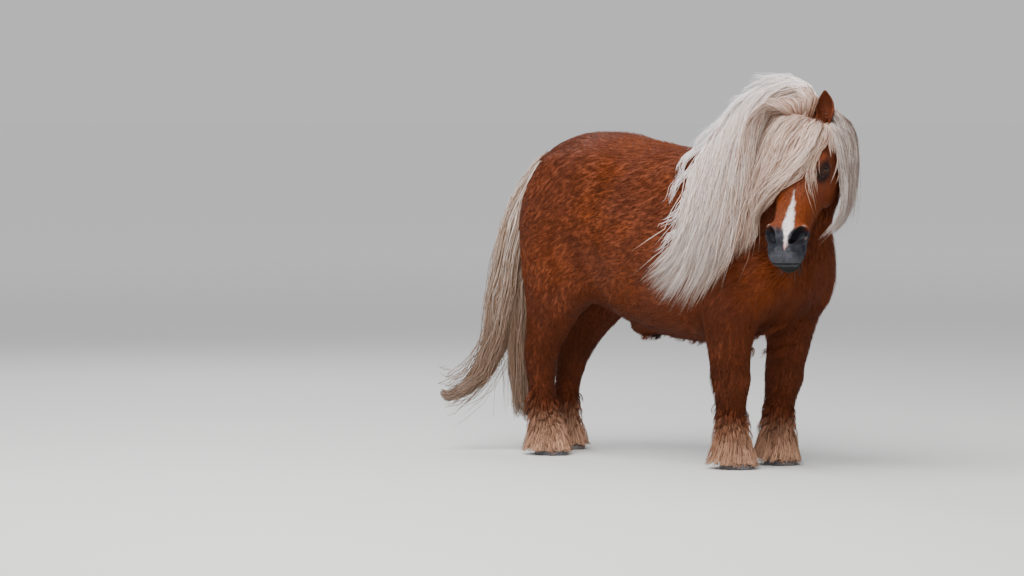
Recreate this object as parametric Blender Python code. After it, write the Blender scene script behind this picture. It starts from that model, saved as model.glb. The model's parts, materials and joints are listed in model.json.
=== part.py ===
"""A standing Shetland pony at life size, as solids: trunk, neck, head, ears, eyes, legs, hooves and tail.

The pony faces -Y, its own left side is +X and the floor is z = 0. Places on the body are written as
(left, forward, up) in metres, which suits an animal better than axis letters.
"""

import math
import random

import bmesh
import bpy
import numpy as np
from mathutils import Vector
from mathutils.bvhtree import BVHTree

# Driving sizes, in metres and degrees.
HEAD_LENGTH = 0.45
POLL = (-0.162, 0.603, 1.035)
HEAD_YAW = 72.0
HEAD_PITCH = 28.0
HOOF_HEIGHT = 0.052
GAP = 0.0003
HAIR_GAP = 0.0012

FLESH_VOXEL = 0.008
HAIR_VOXEL = 0.0040
HEAD_TRIANGLES = 7200
FLESH_TRIANGLES = 4200
BODY_SMOOTHING = 60
HEAD_SMOOTHING = 5


def at(left, forward, up):
    """A place on the pony as a point of the model."""
    return np.array([left, -forward, up], float)


def unit(vector):
    return vector / np.linalg.norm(vector)


for stale in list(bpy.data.objects):
    bpy.data.objects.remove(stale, do_unlink=True)


# The head's own frame: along the nose, out of the forehead, and towards its left ear.
YAW = math.radians(HEAD_YAW)
PITCH = math.radians(HEAD_PITCH)
HEADING = at(-math.sin(YAW), math.cos(YAW), 0)
NOSEWARD = HEADING * math.sin(PITCH) - at(0, 0, 1) * math.cos(PITCH)
BROWWARD = HEADING * math.cos(PITCH) + at(0, 0, 1) * math.sin(PITCH)
EARWARD = np.cross(at(0, 0, 1), HEADING)


def on_head(along, depth, side):
    """A point of the head: along the face from the poll, depth behind the face line, side to its left."""
    return at(*POLL) + (NOSEWARD * along - BROWWARD * depth) * HEAD_LENGTH + EARWARD * side * HEAD_LENGTH


def smooth_rows(rows, count):
    """Rows of numbers drawn out to count rows on a Catmull-Rom curve through them."""
    rows = np.asarray(rows, float)
    padded = np.vstack([2 * rows[0] - rows[1], rows, 2 * rows[-1] - rows[-2]])
    made = []
    for step in np.linspace(0, len(rows) - 1, count):
        span = min(int(step), len(rows) - 2)
        t = step - span
        a, b, c, d = padded[span:span + 4]
        made.append(0.5 * (2 * b + (c - a) * t + (2 * a - 5 * b + 4 * c - d) * t * t
                           + (3 * b - a - 3 * c + d) * t ** 3))
    return np.array(made)


def mesh_object(name, points, faces):
    mesh = bpy.data.meshes.new(name)
    mesh.from_pydata([tuple(p) for p in points], [], faces)
    mesh.update()
    made = bpy.data.objects.new(name, mesh)
    bpy.context.scene.collection.objects.link(made)
    return made


def face_out(made):
    """Turns the faces of a closed mesh outwards, as triangles."""
    work = bmesh.new()
    work.from_mesh(made.data)
    bmesh.ops.triangulate(work, faces=work.faces)
    bmesh.ops.recalc_face_normals(work, faces=work.faces)
    if work.calc_volume(signed=True) < 0:
        bmesh.ops.reverse_faces(work, faces=work.faces)
    work.to_mesh(made.data)
    work.free()
    return made


def skin_rings(name, rings):
    """A closed mesh through rings of points, with a flat cap at each end."""
    count, sides = len(rings), len(rings[0])
    points = np.concatenate(rings)
    faces = [
        (k * sides + i, k * sides + (i + 1) % sides, (k + 1) * sides + (i + 1) % sides, (k + 1) * sides + i)
        for k in range(count - 1) for i in range(sides)
    ]
    faces.append(tuple(range(sides))[::-1])
    faces.append(tuple(range((count - 1) * sides, count * sides)))
    return face_out(mesh_object(name, points, faces))


def loft(name, rows, rings=24, sides=28):
    """A rounded limb or trunk from rows of (front point, back point, half width, squareness, low fullness).

    Each ring lies in the plane of its front and back points, and low fullness widens it towards the back point.
    """
    flat = [np.concatenate([front, back, [half, square, low]]) for front, back, half, square, low in rows]
    drawn = smooth_rows(flat, rings)
    front, back = drawn[:, 0:3], drawn[:, 3:6]
    run = np.gradient((front + back) / 2, axis=0)
    turn = np.linspace(0, 2 * math.pi, sides, endpoint=False)
    made = []
    for k in range(rings):
        deep = (front[k] - back[k]) / 2
        side = np.cross(deep, run[k])
        side /= np.linalg.norm(side)
        half, square, low = drawn[k, 6:9]
        power = 2 / square
        ahead = np.sign(np.cos(turn)) * np.abs(np.cos(turn)) ** power
        across = np.sign(np.sin(turn)) * np.abs(np.sin(turn)) ** power * (1 - low * np.cos(turn))
        made.append((front[k] + back[k]) / 2 + np.outer(ahead, deep) + np.outer(across, side * half))
    return skin_rings(name, made)


def ball(name, centre, axes, subdivisions=3):
    """An ellipsoid whose three half axes are the given vectors."""
    work = bmesh.new()
    bmesh.ops.create_icosphere(work, subdivisions=subdivisions, radius=1)
    frame = np.array(axes)
    for vertex in work.verts:
        vertex.co = Vector(np.asarray(centre) + np.array(vertex.co) @ frame)
    mesh = bpy.data.meshes.new(name)
    work.to_mesh(mesh)
    work.free()
    made = bpy.data.objects.new(name, mesh)
    bpy.context.scene.collection.objects.link(made)
    return face_out(made)


def level_ball(name, left, forward, up, half_left, half_forward, half_up):
    """An ellipsoid with its axes along the pony's own."""
    return ball(name, at(left, forward, up), np.diag([half_left, half_forward, half_up]))


# The flesh: closed rounded shapes that overlap, melted into one skin.

def trunk():
    """Rump to breast: back line, belly line, half width, squareness, how far it fills out low down."""
    rows = [
        (-0.515, 0.850, 0.700, 0.060, 2.0, 0.0),
        (-0.495, 0.905, 0.610, 0.120, 2.0, 0.0),
        (-0.430, 0.955, 0.525, 0.168, 2.1, 0.0),
        (-0.330, 0.980, 0.475, 0.198, 2.2, 0.0),
        (-0.220, 0.982, 0.435, 0.210, 2.2, 0.03),
        (-0.100, 0.960, 0.396, 0.226, 2.2, 0.08),
        (0.020, 0.940, 0.368, 0.236, 2.2, 0.09),
        (0.140, 0.940, 0.360, 0.228, 2.2, 0.06),
        (0.250, 0.958, 0.374, 0.200, 2.2, 0.02),
        (0.340, 0.930, 0.398, 0.178, 2.3, 0.0),
        (0.420, 0.850, 0.440, 0.158, 2.3, 0.0),
        (0.485, 0.770, 0.500, 0.120, 2.2, 0.0),
        (0.520, 0.700, 0.570, 0.060, 2.0, 0.0),
    ]
    return loft(
        "trunk",
        [(at(0, s, top), at(0, s, low), half, square, full) for s, top, low, half, square, full in rows],
        rings=48, sides=40,
    )


def neck_core():
    """Withers to poll: crest and throat points with the half width between them."""
    rows = [
        ((0.000, 0.20, 0.935), (0.000, 0.380, 0.500), 0.155),
        ((0.000, 0.29, 0.972), (0.000, 0.470, 0.600), 0.142),
        ((0.004, 0.38, 1.010), (0.006, 0.528, 0.700), 0.126),
        ((-0.010, 0.47, 1.040), (0.000, 0.550, 0.775), 0.110),
        ((-0.060, 0.550, 1.052), (-0.030, 0.570, 0.825), 0.094),
        ((-0.115, 0.594, 1.045), (-0.080, 0.585, 0.860), 0.078),
        ((-0.160, 0.615, 1.020), (-0.135, 0.595, 0.880), 0.062),
    ]
    return loft("neck_core", [(at(*crest), at(*throat), half, 2.2, 0.12) for crest, throat, half in rows],
                rings=26, sides=32)


def head_core():
    """Poll to lips, in parts of the head's length: face line and jaw line depths and half width."""
    rows = [
        (-0.060, 0.090, 0.230, 0.085, 2.0, 0.0),
        (0.000, 0.020, 0.330, 0.140, 2.1, 0.0),
        (0.090, -0.014, 0.405, 0.168, 2.2, 0.0),
        (0.200, -0.020, 0.445, 0.184, 2.3, -0.04),
        (0.320, -0.004, 0.455, 0.180, 2.3, 0.0),
        (0.440, 0.014, 0.415, 0.156, 2.3, 0.03),
        (0.560, 0.026, 0.335, 0.130, 2.3, 0.03),
        (0.680, 0.030, 0.275, 0.114, 2.3, 0.0),
        (0.780, 0.026, 0.252, 0.118, 2.3, -0.03),
        (0.870, 0.028, 0.245, 0.124, 2.3, -0.02),
        (0.940, 0.050, 0.235, 0.112, 2.2, 0.0),
        (0.985, 0.085, 0.205, 0.080, 2.0, 0.0),
        (1.000, 0.120, 0.175, 0.040, 2.0, 0.0),
    ]
    return loft(
        "head_core",
        [(on_head(t, face, 0), on_head(t, jaw, 0), half * HEAD_LENGTH, square, low)
         for t, face, jaw, half, square, low in rows],
        rings=44, sides=36,
    )


def head_ball(name, along, depth, side, half_along, half_depth, half_side, slant=0.0):
    """An ellipsoid in parts of the head's length, its long axis slanted sideways."""
    long_axis = NOSEWARD - EARWARD * slant
    long_axis /= np.linalg.norm(long_axis)
    cross_axis = np.cross(long_axis, BROWWARD)
    frame = [long_axis * half_along, BROWWARD * half_depth, cross_axis * half_side]
    return ball(name, on_head(along, depth, side), np.array(frame) * HEAD_LENGTH)


def head_bumps():
    """Brow arches, cheeks, the rims of the nostrils, lips and chin, laid on the core of the head."""
    made = [
        head_ball("upper_lip", 0.945, 0.125, 0, 0.065, 0.075, 0.098),
        head_ball("chin", 0.935, 0.222, 0, 0.068, 0.050, 0.074),
    ]
    for side in (-1, 1):
        made.append(head_ball("brow", 0.300, 0.082, side * 0.140, 0.100, 0.060, 0.048))
        made.append(head_ball("cheek", 0.330, 0.285, side * 0.112, 0.170, 0.160, 0.072))
        made.append(head_ball("nostril_rim", 0.812, 0.100, side * 0.094, 0.090, 0.074, 0.046, side * 0.33))
    return made


# Where each hoof stands, left and forward of the middle of the trunk.
HOOF_PLACES = {
    "fore_right": (-0.100, 0.300),
    "fore_left": (0.098, 0.306),
    "hind_right": (-0.100, -0.425),
    "hind_left": (0.098, -0.530),
}
# How far ahead of the other the upper part of a leg is carried.
CARRIED_AHEAD = {"fore_right": 0.008, "fore_left": 0.026, "hind_right": 0.0, "hind_left": 0.0}

# Legs, top to coronet: left, front line, back line, height and half width.
FORE_ROWS = [
    (0.090, 0.400, 0.180, 0.800, 0.085),
    (0.115, 0.440, 0.190, 0.700, 0.088),
    (0.128, 0.450, 0.185, 0.600, 0.086),
    (0.134, 0.418, 0.200, 0.500, 0.080),
    (0.132, 0.384, 0.224, 0.420, 0.070),
    (0.128, 0.362, 0.236, 0.340, 0.062),
    (0.122, 0.356, 0.238, 0.290, 0.058),
    (0.118, 0.357, 0.240, 0.250, 0.058),
    (0.114, 0.342, 0.247, 0.210, 0.049),
    (0.111, 0.332, 0.250, 0.165, 0.042),
    (0.108, 0.338, 0.244, 0.120, 0.046),
    (0.106, 0.340, 0.252, 0.085, 0.047),
    (0.104, 0.347, 0.248, 0.045, 0.053),
    (0.104, 0.349, 0.248, 0.020, 0.054),
]
HIND_ROWS = [
    (0.075, -0.180, -0.445, 0.900, 0.085),
    (0.105, -0.175, -0.500, 0.800, 0.098),
    (0.118, -0.175, -0.512, 0.700, 0.102),
    (0.124, -0.190, -0.505, 0.600, 0.096),
    (0.122, -0.220, -0.492, 0.510, 0.084),
    (0.116, -0.290, -0.484, 0.430, 0.067),
    (0.110, -0.352, -0.487, 0.365, 0.053),
    (0.106, -0.384, -0.502, 0.310, 0.048),
    (0.104, -0.398, -0.494, 0.255, 0.043),
    (0.103, -0.402, -0.480, 0.190, 0.038),
    (0.102, -0.394, -0.478, 0.125, 0.043),
    (0.102, -0.378, -0.457, 0.085, 0.044),
    (0.102, -0.365, -0.462, 0.045, 0.052),
    (0.102, -0.363, -0.462, 0.020, 0.053),
]
STANCE_TOP = 0.56


def leg_rows(name):
    """One leg's rows, leaning from where it joins the trunk to where its hoof stands."""
    rows = FORE_ROWS if name.startswith("fore") else HIND_ROWS
    side = 1 if name.endswith("left") else -1
    foot_left, foot_forward = HOOF_PLACES[name]
    ahead = CARRIED_AHEAD[name]
    made = []
    for left, front, back, up, half in rows:
        share = max(0.0, 1 - up / STANCE_TOP)
        share = share * share * (3 - 2 * share)
        slide = (foot_left - side * rows[-1][0]) * share
        step = (foot_forward - (rows[-1][1] + rows[-1][2]) / 2) * share + ahead * (1 - share)
        made.append((side * left + slide, front + step, back + step, up, half))
    return made


def leg(name):
    rows = [(at(left, front, up), at(left, back, up), half, 2.1, 0.0)
            for left, front, back, up, half in leg_rows(name)]
    return loft(name, rows, rings=42, sides=26)


def body_bumps():
    """Muscles that stand out under the coat: shoulders, arms, breast, hips, buttocks and sheath."""
    made = [level_ball("sheath", 0, -0.110, 0.398, 0.045, 0.075, 0.036)]
    for side in (-1, 1):
        made.append(level_ball("shoulder", side * 0.125, 0.345, 0.700, 0.070, 0.110, 0.190))
        made.append(level_ball("arm", side * 0.130, 0.400, 0.560, 0.070, 0.085, 0.130))
        made.append(level_ball("breast", side * 0.075, 0.435, 0.610, 0.085, 0.085, 0.130))
        made.append(level_ball("hip", side * 0.115, -0.250, 0.840, 0.085, 0.150, 0.105))
        made.append(level_ball("buttock", side * 0.090, -0.430, 0.740, 0.085, 0.070, 0.160))
    return made


def joined(name, pieces):
    """Several objects as one mesh object, their surfaces still crossing."""
    work = bmesh.new()
    for piece in pieces:
        work.from_mesh(piece.data)
        bpy.data.objects.remove(piece, do_unlink=True)
    mesh = bpy.data.meshes.new(name)
    work.to_mesh(mesh)
    work.free()
    made = bpy.data.objects.new(name, mesh)
    bpy.context.scene.collection.objects.link(made)
    return made


def settled(made):
    """Applies an object's modifiers."""
    bpy.context.view_layer.update()
    graph = bpy.context.evaluated_depsgraph_get()
    mesh = bpy.data.meshes.new_from_object(made.evaluated_get(graph))
    made.modifiers.clear()
    made.data = mesh
    return made


def head_share(point):
    """1 on the face, falling to 0 at the back of the head."""
    away = (np.asarray(point) - at(*POLL)) / HEAD_LENGTH
    along = away @ NOSEWARD
    depth = -away @ BROWWARD
    return float(np.clip((along - 0.55 * depth + 0.10) / 0.15, 0, 1)) if depth < 0.62 else 0.0


def leg_share(point):
    """1 on the legs, falling to 0 where they join the body."""
    return float(np.clip((0.46 - point[2]) / 0.10, 0, 1))


def melted(name, pieces, voxel):
    """Crossing closed shapes as one closed skin."""
    made = joined(name, pieces)
    remesh = made.modifiers.new("melt", "REMESH")
    remesh.mode = "VOXEL"
    remesh.voxel_size = voxel
    return settled(made)


def smoothed(made):
    """Smooths a skin, most on the body and least on the face and the legs."""
    body = made.vertex_groups.new(name="body")
    for vertex in made.data.vertices:
        weight = (1 - head_share(vertex.co)) * (1 - 0.92 * leg_share(vertex.co))
        body.add([vertex.index], weight, "REPLACE")
    for group, iterations in (("body", BODY_SMOOTHING), ("", HEAD_SMOOTHING)):
        soften = made.modifiers.new("soften", "SMOOTH")
        soften.factor = 0.5
        soften.iterations = iterations
        soften.vertex_group = group
    return settled(made)


def thinned(made, triangles, group=""):
    """The same skin with about this many triangles, taken only from one vertex group if that is named."""
    made.data.calc_loop_triangles()
    thin = made.modifiers.new("thin", "DECIMATE")
    thin.ratio = triangles / len(made.data.loop_triangles)
    thin.vertex_group = group
    thin.use_collapse_triangulate = True
    return settled(made)


def body_group(made):
    """A vertex group that holds everything but the face."""
    made.vertex_groups.clear()
    body = made.vertex_groups.new(name="body")
    for vertex in made.data.vertices:
        body.add([vertex.index], 1 - head_share(vertex.co), "REPLACE")


def copied(made, name):
    twin = bpy.data.objects.new(name, made.data.copy())
    bpy.context.scene.collection.objects.link(twin)
    return twin


def grown(made, name, by=GAP + 0.0001):
    """A copy whose surface stands a little outside the original."""
    twin = copied(made, name)
    for vertex, normal in zip(twin.data.vertices, [v.vector.copy() for v in twin.data.vertex_normals]):
        vertex.co += normal * by
    return twin


def combined(made, operation, others, solver="MANIFOLD"):
    """A Boolean of one object with several, which are used up."""
    operands = bpy.data.collections.new("operands")
    bpy.context.scene.collection.children.link(operands)
    for other in others:
        operands.objects.link(other)
    step = made.modifiers.new("step", "BOOLEAN")
    step.operation = operation
    step.operand_type = "COLLECTION"
    step.collection = operands
    step.solver = solver
    settled(made)
    for other in list(operands.objects):
        bpy.data.objects.remove(other, do_unlink=True)
    bpy.data.collections.remove(operands)
    return made


def largest(made):
    """Keeps only the largest closed surface of a mesh."""
    work = bmesh.new()
    work.from_mesh(made.data)
    waiting = set(work.faces)
    islands = []
    while waiting:
        first = waiting.pop()
        island, edge_of_growth = [first], [first]
        while edge_of_growth:
            for edge in edge_of_growth.pop().edges:
                for face in edge.link_faces:
                    if len(edge.link_faces) == 2 and face in waiting:
                        waiting.remove(face)
                        island.append(face)
                        edge_of_growth.append(face)
        islands.append(island)
    islands.sort(key=lambda island: sum(face.calc_area() for face in island))
    for island in islands[:-1]:
        bmesh.ops.delete(work, geom=island, context="FACES")
    bmesh.ops.triangulate(work, faces=work.faces)
    work.to_mesh(made.data)
    work.free()
    return made


def prism(name, corners, through):
    """A closed prism: a loop of corner points moved along one vector."""
    corners = np.asarray(corners, float)
    return skin_rings(name, [corners, corners + np.asarray(through)])


# Regions that part the flesh, each cut once at its own size and once grown by the gap.

def head_region():
    """A wide sleeve round the head that ends behind the ears and follows the jaw."""
    rows = [
        (-0.110, -0.10, 0.180, 0.120),
        (0.000, -0.15, 0.360, 0.185),
        (0.090, -0.16, 0.435, 0.212),
        (0.200, -0.16, 0.475, 0.225),
        (0.320, -0.15, 0.490, 0.222),
        (0.440, -0.14, 0.470, 0.205),
        (0.560, -0.13, 0.440, 0.200),
        (0.700, -0.13, 0.420, 0.230),
        (0.900, -0.13, 0.420, 0.240),
        (1.100, -0.10, 0.420, 0.240),
    ]
    return loft("head_region", [(on_head(t, face, 0), on_head(t, jaw, 0), half * HEAD_LENGTH, 2.3, 0.0)
                                for t, face, jaw, half in rows], rings=14, sides=20)


def neck_region():
    """Everything ahead of a cut from the withers to the breast."""
    outline = [(0.150, 1.130), (0.530, 0.640), (0.600, 0.600), (1.20, 0.600), (1.20, 1.40), (0.150, 1.40)]
    reach = 0.6
    return prism("neck_region", [at(-reach, s, up) for s, up in outline], at(2 * reach, 0, 0))


def leg_region(name):
    """A sleeve round one leg with a domed top where the leg enters the body."""
    top, margin, dome = (0.500, 0.022, 0.09) if name.startswith("fore") else (0.600, 0.022, 0.12)
    rows = np.array(leg_rows(name))[::-1]
    low, bury = -0.05, 0.1
    heights = [low] + list(np.linspace(bury, top - dome, 4)) + [
        top - dome + dome * math.sin(math.radians(a)) for a in (30, 60, 85)]
    rings = []
    for up in heights:
        left, front, back, half = (np.interp(up, rows[:, 3], rows[:, k]) for k in (0, 1, 2, 4))
        share = math.sqrt(max(0.0, 1 - max(0.0, (up - top + dome) / dome) ** 2))
        deep, wide = ((front - back) / 2 + margin) * share, (half + margin) * share
        turn = np.linspace(0, 2 * math.pi, 18, endpoint=False)
        rings.append([at(left + wide * math.sin(a), (front + back) / 2 + deep * math.cos(a), up) for a in turn])
    return skin_rings(name + "_region", rings)


def part_off(body, region, name):
    """Cuts what lies in a region off the body as a node of its own, with the gap between them."""
    piece = copied(body, name)
    wider = grown(region, "wider", GAP)
    combined(piece, "INTERSECT", [region])
    combined(body, "DIFFERENCE", [wider])
    largest(body)
    return largest(piece)


# Hooves, eyes and ears

def coronet_height(place, forward):
    """Where a hoof's top lies: it falls from toe to heel."""
    return HOOF_HEIGHT - 0.16 * (place + 0.045 - forward)


def hoof(name):
    """A horn capsule, flat below, sloping forward to the toe and lower at the heel."""
    left, forward = HOOF_PLACES[name]
    turn = np.linspace(0, 2 * math.pi, 20, endpoint=False)
    rings = []
    for share in (0.0, 0.08, 1.0):
        ring = []
        for a in turn:
            ahead, across = math.cos(a), math.sin(a)
            length = (0.062 if ahead > 0 else 0.046) - 0.014 * share
            width = 0.050 - 0.007 * share
            if share == 0.0:
                length, width = length - 0.003, width - 0.003
            x = left + across * width * (1 - 0.06 * ahead)
            s = forward + 0.006 * (1 - share) + ahead * length
            ring.append(at(x, s, coronet_height(forward, s) * share))
        rings.append(ring)
    return skin_rings("hoof_" + name, rings)


def below_coronet(name):
    """All that lies under the leg's end: the leg stops a gap above the hoof."""
    left, forward = HOOF_PLACES[name]
    reach = 0.12
    corners = [
        at(left + dx, forward + ds, coronet_height(forward, forward + ds) + GAP)
        for dx, ds in ((-reach, -reach), (reach, -reach), (reach, reach), (-reach, reach))
    ]
    return prism("below_coronet", corners, at(0, 0, -0.2))


EYE_PLACE = (0.345, 0.105)
EYE_RADIUS = 0.0185
EYE_SUNK = 0.78


def eye_outward(side):
    """Which way an eye looks: aside and a little forward."""
    return unit(EARWARD * side * 0.80 + BROWWARD * 0.58 - NOSEWARD * 0.05)


def eye_centre(side, tree):
    """The middle of an eyeball that stands a little out of the skin."""
    along, depth = EYE_PLACE
    outward = eye_outward(side)
    start = on_head(along, depth, side * 0.15) + outward * 0.1
    spot, _, _, _ = tree.ray_cast(Vector(start), Vector(-outward))
    return np.array(spot) - outward * EYE_RADIUS * EYE_SUNK


def eye(name, centre):
    made = ball(name, centre, np.eye(3) * EYE_RADIUS, subdivisions=2)
    made.data.shade_smooth()
    return made


def lid(centre, side, upper):
    """A fold of skin along one edge of the eye: a thick arc just outside the ball, thin at both corners."""
    outward = eye_outward(side)
    up = -NOSEWARD + BROWWARD * 0.35
    up = unit(up - outward * (up @ outward))
    fore = np.cross(up, outward)
    opening, thick = (0.78, 0.0056) if upper else (-0.80, 0.0050)
    rings = []
    for a in np.linspace(-1.20, 1.20, 9):
        lift = opening * math.cos(a * 1.25)
        place = unit(outward * math.cos(a) * math.cos(lift) + fore * math.sin(a) + up * math.sin(lift))
        size = thick * (0.45 + 0.55 * math.cos(a))
        across = unit(np.cross(place, fore))
        middle = centre + place * (EYE_RADIUS + 0.0006)
        rings.append([middle + place * size * math.cos(b) + across * size * 1.7 * math.sin(b)
                      for b in np.linspace(0, 2 * math.pi, 6, endpoint=False)])
    return skin_rings("lid", rings)


EAR_LENGTH = 0.104


def ear(name, side, outward, back):
    """A cupped leaf: a horn of crescents that open forward and close to a tip."""
    base = on_head(0.020, 0.115, side * 0.110)
    rise = -NOSEWARD * 0.75 + BROWWARD * (0.50 - back) + EARWARD * side * outward
    rise /= np.linalg.norm(rise)
    face = BROWWARD + EARWARD * side * 0.12
    face -= rise * (face @ rise)
    face /= np.linalg.norm(face)
    across = np.cross(rise, face)
    rings = []
    rows = smooth_rows([
        # up the ear, radius, how far the sides wrap round, wall thickness, forward curl
        (-0.14, 0.019, 2.6, 0.0185, 0.000),
        (0.06, 0.021, 2.5, 0.0180, 0.000),
        (0.25, 0.0255, 2.15, 0.0085, 0.001),
        (0.48, 0.0275, 1.80, 0.0055, 0.003),
        (0.70, 0.0235, 1.55, 0.0045, 0.006),
        (0.88, 0.0140, 1.35, 0.0038, 0.011),
        (1.00, 0.0045, 1.20, 0.0028, 0.016),
    ], 9)
    for up, radius, wrap, wall, curl in rows:
        turn = np.linspace(-wrap, wrap, 7)
        centre = base + rise * EAR_LENGTH * up + face * curl
        outer = [centre - face * radius * math.cos(a) + across * radius * math.sin(a) for a in turn]
        inner = [centre - face * (radius - wall) * math.cos(a) + across * (radius - wall) * math.sin(a)
                 for a in turn[::-1]]
        rings.append(np.array(outer + inner))
    return skin_rings(name, rings)


def nostril(side):
    """The hollows of one nostril: a round one above and outside, a slit below and inside."""
    return [
        head_ball("nostril", 0.798, 0.050, side * 0.110, 0.052, 0.066, 0.030, side * 0.55),
        head_ball("nostril", 0.850, 0.058, side * 0.070, 0.046, 0.056, 0.017, side * 0.90),
    ]


def mouth():
    """A thin crescent that parts the lips from one corner of the mouth round the front to the other."""
    corner, front = on_head(0.800, 0.212, 0), on_head(0.990, 0.168, 0)
    ahead = front - corner
    reach = np.linalg.norm(ahead)
    ahead /= reach
    lip_line = np.cross(ahead, EARWARD) * 0.0014
    rings = []
    for a in np.radians(np.linspace(-88, 88, 15)):
        out = corner + ahead * (reach + 0.015) * math.cos(a) + EARWARD * 0.066 * math.sin(a)
        inner = corner + ahead * (reach - 0.009) * math.cos(a) + EARWARD * 0.040 * math.sin(a)
        rings.append(np.array([out + lip_line, inner + lip_line, inner - lip_line, out - lip_line]))
    return skin_rings("mouth", rings)


# Locks of hair

WIND = at(-0.643, -0.766, 0)
DOWN = at(0, 0, -1)
rng = random.Random(11)

# How many locks each growth of hair has, and how wide they are.
MANE_CLOSE = 11
MANE_HIGH = 18
MANE_FAR = 8
FORELOCK = 9
TAIL = 14
FEATHER = 8
MANE_WIDTHS = (0.090, 0.105, 0.120)
TAIL_WIDTHS = (0.066, 0.076, 0.086)
FEATHER_WIDTHS = (0.054, 0.062)


def searchable(pieces):
    """One search tree over several meshes."""
    work = bmesh.new()
    for piece in pieces:
        work.from_mesh(piece.data)
    tree = BVHTree.FromBMesh(work)
    work.free()
    return tree


def lifted(place, tree, height):
    """A point moved off the surfaces of a tree until it is at least this far outside them."""
    spot, normal, _, _ = tree.find_nearest(Vector(place))
    spot, normal = np.array(spot), np.array(normal)
    if (place - spot) @ normal < height:
        place = spot + normal * height
    return place, normal


def drape(root, rise, fall, length, steps, height, tree, bend=0.45, curl=0.0):
    """A path that leaves its root one way, bends to fall another way and stays clear of the flesh.

    Curl lets the wind carry the last third of it further.
    """
    heading = unit(rise)
    _, normal = lifted(root, tree, 0)
    path, lie = [root - normal * 0.014], [normal]
    place = np.array(root)
    for k in range(steps):
        wanted = fall + WIND * curl * max(0.0, (k + 1) / steps - 0.6) / 0.4
        heading = unit(heading * (1 - bend) + unit(wanted) * bend)
        place, normal = lifted(place + heading * length / steps, tree, height)
        place[2] = max(place[2], 0.014)
        heading = unit(place - path[-1])
        path.append(place)
        lie.append(unit(0.5 * lie[-1] + normal))
    return np.array(path), np.array(lie)


def lock(path, lie, width, thick, tree):
    """A flat tapered lock: wide along the surface it lies on, with a low ridge outside."""
    last = len(path) - 1
    run = np.gradient(path, axis=0)
    rings = []
    for k, centre in enumerate(path):
        share = k / last
        across = unit(np.cross(run[k], lie[k]))
        out = unit(np.cross(across, run[k]))
        fullness = 0.62 + 0.38 * math.sin(min(1.0, share * 2.2) * math.pi / 2)
        taper = (1 - share ** 3) * fullness + 0.08
        half, deep = width / 2 * taper, thick * (0.50 + 0.50 * (1 - share))
        ring = [centre + across * half, centre + out * deep, centre - across * half]
        if k > 1:
            ring = [lifted(corner, tree, 0.003)[0] for corner in ring]
        for corner in ring:
            corner[2] = max(corner[2], 0.006)
        rings.append(np.array(ring))
    return skin_rings("lock", rings)


def on_surface(place, tree):
    spot, _, _, _ = tree.find_nearest(Vector(place))
    return np.array(spot)


def mixed(a, b, share):
    return np.asarray(a) * (1 - share) + np.asarray(b) * share


CREST = [(0, 0.235, 0.955), (0.000, 0.33, 0.992), (0.000, 0.42, 1.028), (-0.030, 0.51, 1.052),
         (-0.095, 0.582, 1.052), (-0.160, 0.612, 1.030)]


def crest(share):
    """A place on the top of the neck, from the withers at 0 to the poll at 1."""
    step = share * (len(CREST) - 1)
    span = min(int(step), len(CREST) - 2)
    return at(*mixed(CREST[span], CREST[span + 1], step - span))


def mane_locks(tree):
    """The mane: down the right side, close at first and then high and windblown, and a shorter fall down the left."""
    made = []
    for k in range(MANE_CLOSE):
        share = (k + 0.5) / MANE_CLOSE
        root = on_surface(crest(0.66 * share) + at(-0.036, 0, 0), tree)
        fall = DOWN + WIND * (0.16 - 0.24 * share) + at(-0.12, 0, 0)
        length = (0.70 - 0.14 * share) * rng.choice((0.92, 1.0, 1.08))
        path, lie = drape(root, at(-0.8, 0, 0.25), fall, length, 7, 0.012 + 0.012 * (k % 2), tree, curl=0.55)
        made.append(lock(path, lie, rng.choice(MANE_WIDTHS), 0.017, tree))
    for k in range(MANE_HIGH):
        share = (k + 0.5) / MANE_HIGH
        high = k % 2
        root = on_surface(crest(0.98 * share) + at(-0.020 + 0.014 * high, 0, 0), tree)
        fall = DOWN + WIND * (0.02 + 0.36 * share + rng.uniform(-0.06, 0.06))
        length = (0.52 + 0.03 * high + 0.16 * share) * rng.choice((0.90, 0.96, 1.0, 1.05))
        rise = at(-0.60 + 0.10 * high, -0.05 - 0.20 * share, 0.4 + high * (0.3 + 1.4 * share))
        path, lie = drape(root, rise, fall, length, 9, 0.016 + high * (0.018 + 0.026 * share), tree, bend=0.38,
                          curl=0.25 + 0.12 * share)
        made.append(lock(path, lie, rng.choice(MANE_WIDTHS), 0.017, tree))
    for k in range(MANE_FAR):
        share = 0.22 + 0.76 * (k + 0.5) / MANE_FAR
        high = k % 2
        root = on_surface(crest(share) + at(0.030 - 0.012 * high, 0.008, 0), tree)
        length = (0.40 + 0.04 * high) * rng.choice((0.9, 1.0, 1.06))
        path, lie = drape(root, at(0.50, 0.10, 0.20 + 0.40 * high), DOWN - at(0.12, 0, 0), length, 6,
                          0.010 + 0.012 * high, tree, bend=0.55)
        made.append(lock(path, lie, rng.choice(MANE_WIDTHS), 0.017, tree))
    return made


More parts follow.
